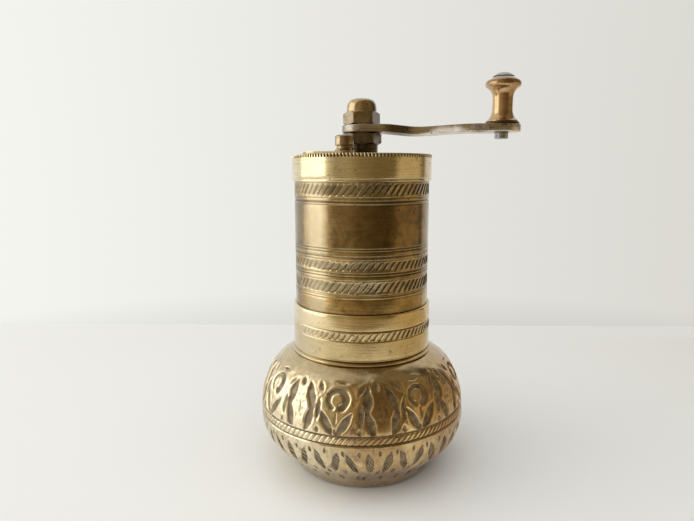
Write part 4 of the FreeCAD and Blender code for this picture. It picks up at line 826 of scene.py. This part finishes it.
# A painted highlight: a paler tone is laid on the left, strongest from 17.5 to 14 mm left of the axis.
shade_along(tube_metal, "X", -25, 25, [(-23, 0.0), (-19.5, 0.25), (-17.5, 0.7), (-14.2, 0.75), (-11, 0.0)],
            (0.56, 0.46, 0.285))

bm = spin_profile(tube_profile, tube_strokes * tube_columns, closed=True)
chase(bm, tube_shape)
finish_piece(bm, "tube_wall", "head", tube_metal, ["mill_tube"])

grub_level, grub_bore = 60.0, 1.28
bm = spin_profile([(spigot_bore, spigot_foot), (spigot_radius - 0.3, spigot_foot), (spigot_radius, spigot_foot + 0.3),
                   (spigot_radius, tube_foot), (spigot_bore, tube_foot)], 96, closed=True)
drills = []
for third in range(3):
    turn = Matrix.Rotation(math.tau * third / 3, 4, "Z")
    aside = Matrix.Translation((spigot_radius, 0, grub_level)) @ Matrix.Rotation(math.pi / 2, 4, "Y")
    drills.append(rod(grub_bore, 8, turn @ aside))
bm = carve(bm, *drills)
spigot_metal = metal_skin("spigot_brass", (0.72, 0.57, 0.30), (0.50, 0.34, 0.14), (0.08, 0.05, 0.02), age=0.45,
                          patch=0.01, gloss=(0.2, 0.4), stretch=(0.05, 0.05, 1.0), cut=0.4)
finish_piece(bm, "tube_spigot", "head", spigot_metal, ["mill_tube"])


# --------------------------------------------------
# Lid: a pale brass cap, turned and polished, its top edge notched so that fingers can grip it.
# It is bored for the upper bearing and the shutter's rivet, and has a round filler hole.

lid_foot, lid_top, lid_radius, lid_bore, lid_under = 109.8, 119.2, 26.0, 25.28, 117.2
notches, notch_columns, notch_foot, notch_depth = 134, 6, 117.95, 0.4
bush_hole, filler_hole, rivet_hole = 6.03, (-13.6, -6.3, 6.0), (-14.0, 11.0, 1.43)
lid_profile = [(lid_bore, 110.0), (25.45, lid_foot), (25.85, lid_foot), (26.0, 109.95), (25.97, 110.5),
               (25.9, 110.6), (25.97, 110.72), (26.0, 112.0), (26.0, 114.0), (26.0, 116.0), (26.0, notch_foot),
               (26.0, notch_foot + 0.05), (26.0, 118.4), (26.0, 118.9), (25.9, 119.12), (25.7, lid_top),
               (25.3, lid_top), (24.6, lid_top), (24.4, lid_top - 0.06), (24.2, lid_top), (20.0, lid_top),
               (12.0, lid_top), (bush_hole, lid_top), (bush_hole, lid_under), (12.0, lid_under),
               (lid_bore, lid_under)]
lid_rows = np.array(lid_profile)


def lid_shape(rows, angles):
    """Where the lid's vertices go: the same, but for the notches."""
    radius, level = lid_rows[rows].T
    phase = np.abs(np.mod(angles * notches / math.tau + 0.5, 1.0) - 0.5)
    cut = notch_depth * np.clip(1 - phase * 3, 0, 1)
    notched = (level > notch_foot + 0.01) & (radius > 20)
    after = np.where(notched, np.minimum(radius, lid_radius - cut), radius)
    relief = 1 - np.where(notched, np.clip((radius - after) / notch_depth, 0, 1), 0)
    return after, level, np.zeros_like(level), relief


lid_metal = metal_skin("polished_pale_brass", (0.82, 0.70, 0.44), (0.70, 0.545, 0.285), (0.10, 0.06, 0.025), age=0.36,
                       patch=0.012, gloss=(0.11, 0.22), stretch=(0.05, 0.05, 1.0), scratch=0.0004, relief=0.75,
                       film=0.5)
bm = spin_profile(lid_profile, notches * notch_columns, closed=True)
chase(bm, lid_shape)
drills = [rod(radius, 8, Matrix.Translation((x, y, lid_top)), 64) for x, y, radius in (filler_hole, rivet_hole)]
bm = carve(bm, *drills)
finish_piece(bm, "lid_cap", "head", lid_metal, ["lid", "lid_edge"])


def dress(material, *names):
    """Gives CAD parts that stay as they are their real finish."""
    for name in names:
        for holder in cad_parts[name].material_slots:
            holder.material = material


bearing_metal = metal_skin("bearing_brass", (0.76, 0.60, 0.32), (0.56, 0.40, 0.17), (0.08, 0.05, 0.02), age=0.4,
                           patch=0.006, gloss=(0.18, 0.34), stretch=(0.05, 0.05, 1.0), scratch=0.0003)
dress(bearing_metal, "lid_bush", "bearing_bush")


# --------------------------------------------------
# Filler shutter: a thin brass plate that swings on a rivet to open the filler hole. Its handle is a
# small turned brass knob with a domed head, riveted through the plate.

handle_place = (-5.9, -14.4, 119.2)
handle_profile = [(0, 0), (1.4, 0), (1.4, 1.0), (3.45, 1.0), (3.5, 1.08), (3.5, 1.3),
                  *arc((3.5, 1.3), (2.75, 2.2), -2.0, 6), (2.72, 2.7), (2.85, 2.84), (3.24, 2.9), (3.33, 3.02),
                  (3.35, 3.3), (3.35, 5.75), *arc((3.35, 5.75), (2.5, 6.42), 1.1, 8), (1.4, 6.48), (0, 6.5)]
plate_metal = metal_skin("shutter_plate_brass", (0.76, 0.62, 0.36), (0.58, 0.43, 0.2), (0.1, 0.06, 0.03), age=0.4,
                         patch=0.008, gloss=(0.2, 0.38), stretch=(1.0, 0.1, 1.0))
handle_metal = metal_skin("handled_golden_brass", (0.54, 0.42, 0.25), (0.24, 0.145, 0.06), (0.06, 0.035, 0.015),
                          age=0.45, patch=0.003, gloss=(0.12, 0.26), stretch=(0.1, 0.1, 1.0), scratch=0.0004,
                          film=0.6)
dress(plate_metal, "filler_shutter", "shutter_rivet")
finish_piece(spin_profile(handle_profile, 72), "shutter_handle", "shutter", handle_metal,
             ["shutter_knob"], place=handle_place)


# --------------------------------------------------
# Burrs and bearings, out of sight in the tube's foot: a toothed ring held by grub screws, a toothed
# cone on the spindle with its nut, and a bridge that carries the lower bearing. Iron and steel.

burr_iron = metal_skin("burr_iron", (0.40, 0.38, 0.35), (0.16, 0.145, 0.13), (0.03, 0.025, 0.02), age=0.6,
                       patch=0.004, gloss=(0.3, 0.55), scratch=0.0006, cut=0.6)
dress(burr_iron, "burr_ring", "burr_cone")
bright_steel = metal_skin("turned_steel", (0.58, 0.57, 0.55), (0.40, 0.37, 0.33), (0.05, 0.035, 0.025), age=0.35,
                          patch=0.004, gloss=(0.2, 0.38), stretch=(0.05, 0.05, 1.0), scratch=0.0004, cut=0.35)
dress(bright_steel, "spindle", "ring_screws", "bridge_screws", "cross_pin", "spring_washer")
bar_steel = metal_skin("bar_steel", (0.46, 0.43, 0.39), (0.28, 0.23, 0.18), (0.05, 0.03, 0.02), age=0.45, patch=0.006,
                       gloss=(0.26, 0.45), stretch=(1.0, 0.1, 0.1), cut=0.4)
dress(bar_steel, "bearing_bridge", "cone_nut")
spring_steel = metal_skin("oiled_spring_steel", (0.38, 0.36, 0.33), (0.20, 0.17, 0.14), (0.04, 0.03, 0.02), age=0.5,
                          patch=0.002, gloss=(0.22, 0.4), stretch=(1.0, 1.0, 0.3), scratch=0.0003)


# --------------------------------------------------
# Spring: a coil of oiled steel wire between the lid's bush and the washer on the spindle. It is wound
# open; it shortens as the adjusting nut lifts the spindle, but it is built here at one length.

spring_top, spring_length, spindle_travel = 115.2, 25.0, 1.0
coil_radius, coil_turns, coil_steps, wire_radius, wire_sides, wire_clear = 6.0, 6.5, 208, 0.6, 14, 0.03
coil_rise = spring_length - 2 * (wire_radius + wire_clear)
wire_foot = Matrix.Translation((coil_radius, 0, spring_top - spring_length + wire_radius + wire_clear))
bm = bmesh.new()
bmesh.ops.create_circle(bm, segments=wire_sides, radius=wire_radius,
                        matrix=wire_foot @ Matrix.Rotation(math.radians(90), 4, "X"))
bmesh.ops.spin(bm, geom=bm.verts[:] + bm.edges[:], cent=(0, 0, 0), axis=(0, 0, 1), angle=math.tau * coil_turns,
               dvec=(0, 0, coil_rise / coil_steps), steps=coil_steps)
bmesh.ops.holes_fill(bm, edges=[edge for edge in bm.edges if edge.is_boundary], sides=wire_sides)
spring = finish_piece(bm, "spring_coil", "head", spring_steel, ["spring"])
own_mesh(spring)


# --------------------------------------------------
# Adjusting nut: a dark steel hexagon on a round shank, threaded on the spindle's head. Turning it
# lifts the cone and grinds finer; it rides on the lid's bush and the crank arm lies on it.

def seat_of(flats):
    """Radius of the round face that a nut's bevel leaves, from its width across flats."""
    return flats / 2 * 0.97


def hexagon_nut(profile, flats, facing, closed):
    """A nut spun from rows of (radius, level, side) and shaped to a hexagon; side -1 and 1 are bevels' edges."""
    table = np.array(profile)
    across_corners = flats / 2 / math.cos(math.radians(30))
    segments, sixth, corner_turn = 96, 16, math.radians(2.1)

    def shape(rows, angles):
        radius, level, side = table[rows].T
        offset = np.mod(np.rint(angles / math.tau * segments) + sixth // 2, sixth) - sixth // 2
        push = np.where(np.abs(offset) == 7, np.sign(offset) * corner_turn, 0)
        reach = np.minimum(flats / 2 / np.cos(np.radians(offset * 360 / segments) + push), across_corners * 0.985)
        bevelled = side != 0
        radius = np.where(bevelled, reach, radius)
        level = level - side * (reach - seat_of(flats)) * math.tan(math.radians(30)) * bevelled
        return radius, level, push + math.radians(facing), np.ones_like(level)

    bm = spin_profile([row[:2] for row in profile], segments, closed)
    chase(bm, shape)
    return bm


nut_place, nut_flats, nut_facing, nut_bore = (0, 0, 119.5), 13.0, 34.0, 4.06
nut_seat = seat_of(nut_flats)
nut_profile = [(nut_bore + 0.3, 0, 0), (5.7, 0, 0), (6.0, 0.3, 0), (6.0, 1.9, 0), (5.92, 2.0, 0), (6.0, 2.1, 0),
               (6.0, 3.3, 0), (6.05, 3.5, 0), (nut_seat, 3.5, 0), (7.5, 3.5, -1), (7.5, 7.8, 1), (nut_seat, 7.8, 0),
               (nut_bore + 0.3, 7.8, 0), (nut_bore, 7.5, 0), (nut_bore, 0.3, 0)]
nut_metal = metal_skin("dark_nut_steel", (0.36, 0.30, 0.22), (0.12, 0.085, 0.055), (0.025, 0.017, 0.01), age=0.6,
                       patch=0.004, gloss=(0.24, 0.42), stretch=(0.3, 0.3, 1.0), scratch=0.0006, cut=0.5)
# Painted shade: the round shank under the hexagon is darkened, the hexagon itself a little.
shade_along(nut_metal, "Z", 119.5, 127.3, [(119.5, (0.45, 0.43, 0.40)), (122.8, (0.5, 0.47, 0.44)),
                                           (123.2, (0.9, 0.9, 0.9))])
finish_piece(hexagon_nut(nut_profile, nut_flats, nut_facing, True), "adjusting_hexagon", "adjusting_nut", nut_metal,
             ["adjusting_nut"], sharp=20, place=nut_place)


# --------------------------------------------------
# Crank arm: a flat bar of mild steel with rounded ends, filed and rubbed along its length. It dips a
# little beyond its boss, and is punched square for the spindle and round for the knob's pin.

arm_foot, arm_thick, arm_boss, arm_end, arm_reach = 127.3, 2.7, 7.2, 6.8, 51.5
arm_dip, arm_dip_at, arm_level_at, arm_edge = 1.0, 20.0, 42.0, 0.42
filed_from, filed_to, filed_back, filed_run = 20.0, 42.0, 1.25, 8
square_side, pin_hole = 5.75, 2.49
tangent = math.asin((arm_boss - arm_end) / arm_reach)
rim_points = [(arm_boss * math.cos(turn), arm_boss * math.sin(turn))
              for turn in np.linspace(math.pi / 2 - tangent, math.pi * 1.5 + tangent, 49)]
rim_points += [(arm_reach + arm_end * math.cos(turn), arm_end * math.sin(turn))
               for turn in np.linspace(-math.pi / 2 + tangent, math.pi / 2 - tangent, 41)]
bm = bmesh.new()
plan = bm.faces.new([bm.verts.new((x, y, arm_foot)) for x, y in rim_points])
lifted = bmesh.ops.extrude_face_region(bm, geom=[plan])["geom"]
bmesh.ops.translate(bm, vec=(0, 0, arm_thick), verts=[item for item in lifted if isinstance(item, bmesh.types.BMVert)])
bmesh.ops.recalc_face_normals(bm, faces=bm.faces)
rims = [edge for edge in bm.edges if edge.calc_face_angle(0) > 1.0]
bmesh.ops.bevel(bm, geom=rims, offset=arm_edge, segments=3, profile=0.5, affect="EDGES", material=-1)
for x in np.arange(arm_boss - 1.2, arm_level_at + 4.0, 1.0):
    bmesh.ops.bisect_plane(bm, geom=bm.verts[:] + bm.edges[:] + bm.faces[:], plane_co=(x, 0, 0),
                           plane_no=(1, 0, 0))
for vertex in bm.verts:
    x = vertex.co.x
    sink = smooth_step(arm_boss, arm_dip_at, x) - smooth_step(arm_dip_at, arm_level_at, x)
    filed = smooth_step(filed_from, filed_from + filed_run, x) - smooth_step(filed_to - filed_run, filed_to, x)
    below = min(max((arm_foot + arm_thick - vertex.co.z) / arm_thick, 0), 1)
    if vertex.co.y < 0:
        vertex.co.y += filed_back * below * float(filed)
    vertex.co.z -= arm_dip * float(sink)
square = bmesh.new()
bmesh.ops.create_cube(square, size=1.0, matrix=Matrix.Translation((0, 0, arm_foot + arm_thick / 2)) @
                      Matrix.Diagonal((square_side, square_side, 9.0, 1.0)))
bm = carve(bm, square, rod(pin_hole, 9, Matrix.Translation((arm_reach, 0, arm_foot + arm_thick / 2))))

arm_metal = metal_skin("rubbed_bar_steel", (0.66, 0.62, 0.56), (0.40, 0.335, 0.27), (0.05, 0.028, 0.014), age=0.40,
                       patch=0.010, gloss=(0.20, 0.42), stretch=(0.05, 1.0, 1.0), cut=0.6)
# Painted light and shade along the bar: a painted highlight brightens it from about 20 mm out to its end, and it is
# darker from 9 to 17 mm and at its boss's outer end.
shade_along(arm_metal, "X", -8, 60, [
    (-8, (0.52, 0.51, 0.50)), (-5, (0.76, 0.74, 0.71)), (7, (0.98, 0.91, 0.83)), (9, (0.60, 0.51, 0.42)),
    (10.5, (0.34, 0.28, 0.22)), (15, (0.27, 0.22, 0.175)), (17, (0.48, 0.42, 0.36)), (19.5, (1.15, 1.1, 1.04)),
    (22.5, (1.5, 1.48, 1.44)), (34, (1.5, 1.5, 1.48)), (36.5, (1.25, 1.17, 1.08)), (46, (1.12, 1.06, 1.0)),
    (60, (1.32, 1.27, 1.24))])

# Rust freckles the bar, and a patch of it lies before the knob.
tree = arm_metal.node_tree
spot = place_in(tree)
rust_heart = (42.0 * mm, -5.5 * mm, 129.0 * mm)
from_heart = put(tree, "VectorMath", {0: spot, 1: rust_heart}, operation="SUBTRACT").outputs[0]
from_heart = put(tree, "VectorMath", {0: from_heart}, operation="LENGTH").outputs["Value"]
uneven = noise(tree, spot, 420.0, 5.0, Distortion=0.5)
patch = maths(tree, maths(tree, from_heart, "*", -420.0), "+", maths(tree, uneven, "*", 3.2))
freckles = rescale(tree, noise(tree, spot, 260.0, 4.0, Distortion=1.0), 0.64, 0.72)
rust = maths(tree, maths(tree, freckles, "*", 0.55), "MAXIMUM", maths(tree, patch, "-", 0.1, True))
recolour(tree, maths(tree, rust, "*", 0.85),
         ramp(tree, uneven, [(0.3, (0.055, 0.020, 0.008)), (0.7, (0.15, 0.06, 0.02))]))
surface = tree.nodes["Principled BSDF"].inputs
tree.links.new(maths(tree, 1.0, "-", maths(tree, rust, "*", 0.7)), surface["Metallic"])
rough = maths(tree, surface["Roughness"].links[0].from_socket, "+", maths(tree, rust, "*", 0.3), True)
tree.links.new(rough, surface["Roughness"])
finish_piece(bm, "crank_bar", "crank", arm_metal, ["crank_arm"], sharp=30)


# --------------------------------------------------
# Cap nut: a brass acorn nut that clamps the arm down on the adjusting nut. Its hexagon is bevelled,
# and its dome was turned in one piece with it.

cap_place, cap_flats, cap_facing = (0, 0, 130.0), 12.0, 34.0
cap_seat = seat_of(cap_flats)
cap_profile = [(4.12, 0, 0), (cap_seat, 0, 0), (6.9, 0, -1), (6.9, 4.6, 1), (cap_seat, 4.6, 0), (5.66, 4.62, 0),
               (5.56, 4.75, 0), (5.55, 5.5, 0), (5.5, 6.3, 0), (5.38, 7.1, 0), (5.15, 7.8, 0), (4.75, 8.45, 0),
               (4.15, 8.98, 0), (3.3, 9.36, 0), (2.2, 9.59, 0), (1.0, 9.68, 0), (0, 9.7, 0)]
cap_profile = [(0, 8.1, 0), (3.0, 8.1, 0), (3.0, 2.9, 0), (4.12, 2.9, 0)] + cap_profile
cap_metal = metal_skin("cap_brass", (0.66, 0.49, 0.25), (0.34, 0.205, 0.085), (0.05, 0.03, 0.012), age=0.45,
                       patch=0.004, gloss=(0.10, 0.22), stretch=(0.15, 0.15, 1.0), film=0.8)
shade_along(cap_metal, "Z", 130.0, 139.7, [(130.0, (0.74, 0.76, 0.95)), (134.6, (0.74, 0.76, 0.95)),
                                           (134.9, (1.0, 1.0, 1.0))])
# Painted shade: the right side of the cap is darkened.
shade_along(cap_metal, "X", -8, 8, [(2.0, (1.0, 1.0, 1.0)), (4.2, (0.30, 0.26, 0.20))])
finish_piece(hexagon_nut(cap_profile, cap_flats, cap_facing, False), "cap_hexagon", "crank", cap_metal,
             ["cap_nut"], sharp=20, place=cap_place)


# --------------------------------------------------
# Crank knob: a waisted grip of reddish brass that spins on a steel pin. The pin has a domed head, is
# shouldered on the arm and riveted under it, and a blackened washer lies below the grip.

washer_place, grip_place, pin_place = (51.5, 0, 130.0), (51.5, 0, 130.9), (51.5, 0, 124.9)
washer_profile = [(2.26, 0), (6.0, 0), (6.2, 0.2), (6.2, 0.62), (6.0, 0.8), (2.26, 0.8)]
washer_metal = metal_skin("blackened_washer", (0.20, 0.16, 0.12), (0.07, 0.05, 0.035), (0.02, 0.014, 0.01), age=0.6,
                          patch=0.003, gloss=(0.3, 0.5), cut=0.5)
finish_piece(spin_profile(washer_profile, 72, closed=True), "grip_washer", "crank", washer_metal,
             ["knob_washer"], place=washer_place)

grip_profile = [(2.3, 0), (5.55, 0), (5.7, 0.12), (5.7, 0.4), *arc((5.7, 0.4), (3.65, 4.6), -5.33, 16),
                (3.63, 6.7), (3.66, 8.6), *arc((3.66, 8.6), (5.95, 12.3), -4.2, 14), (6.22, 12.65), (6.37, 13.05),
                (6.4, 13.4), (6.34, 13.8), (6.12, 14.25), (5.7, 14.65), (5.1, 15.0), (4.5, 15.35), (4.1, 15.65),
                (3.85, 15.84), (3.6, 15.9), (2.3, 15.9)]
grip_metal = metal_skin("handled_red_brass", (0.68, 0.46, 0.23), (0.50, 0.295, 0.13), (0.08, 0.04, 0.018), age=0.5,
                        patch=0.004, gloss=(0.16, 0.26), stretch=(0.1, 0.1, 1.0), scratch=0.0006, cut=0.4, film=0.6)
# Painted shade: the grip's head above the brim is darkened.
shade_along(grip_metal, "Z", 130, 147, [(143.6, (1.0, 1.0, 1.0)), (144.9, (0.62, 0.56, 0.50)),
                                        (146.2, (0.80, 0.74, 0.66))])
# A paler tone is laid over the top's rim, so that the hollow darkening leaves no dark ring between grip and pin head.
shade_along(grip_metal, "Z", 130, 147, [(145.9, 0.0), (146.4, 0.8)], (0.52, 0.41, 0.28))
finish_piece(spin_profile(grip_profile, 96, closed=True), "crank_grip", "knob", grip_metal, ["knob_grip"],
             place=grip_place)

pin_profile = [(0, 0), (2.1, 0), (2.4, 0.15), (2.45, 0.4), (2.45, 5.1), (2.2, 5.1), (2.2, 22.0), (3.6, 22.0),
               (3.8, 22.15), *arc((3.8, 22.15), (0, 23.6), 5.7, 12)]
pin_metal = metal_skin("worn_pin_steel", (0.50, 0.53, 0.55), (0.36, 0.37, 0.37), (0.06, 0.045, 0.035), age=0.35,
                       patch=0.002, gloss=(0.22, 0.4), scratch=0.0004, cut=0.4)
# A paler tone is laid over the pin head's rim, so that the hollow darkening leaves no dark ring there.
shade_along(pin_metal, "Z", 124, 149, [(146.7, 0.0), (146.9, 0.7), (147.4, 0.4), (148.0, 0.0)], (0.55, 0.56, 0.56))
finish_piece(spin_profile(pin_profile, 72), "grip_pin", "crank", pin_metal, ["knob_pin"], place=pin_place)
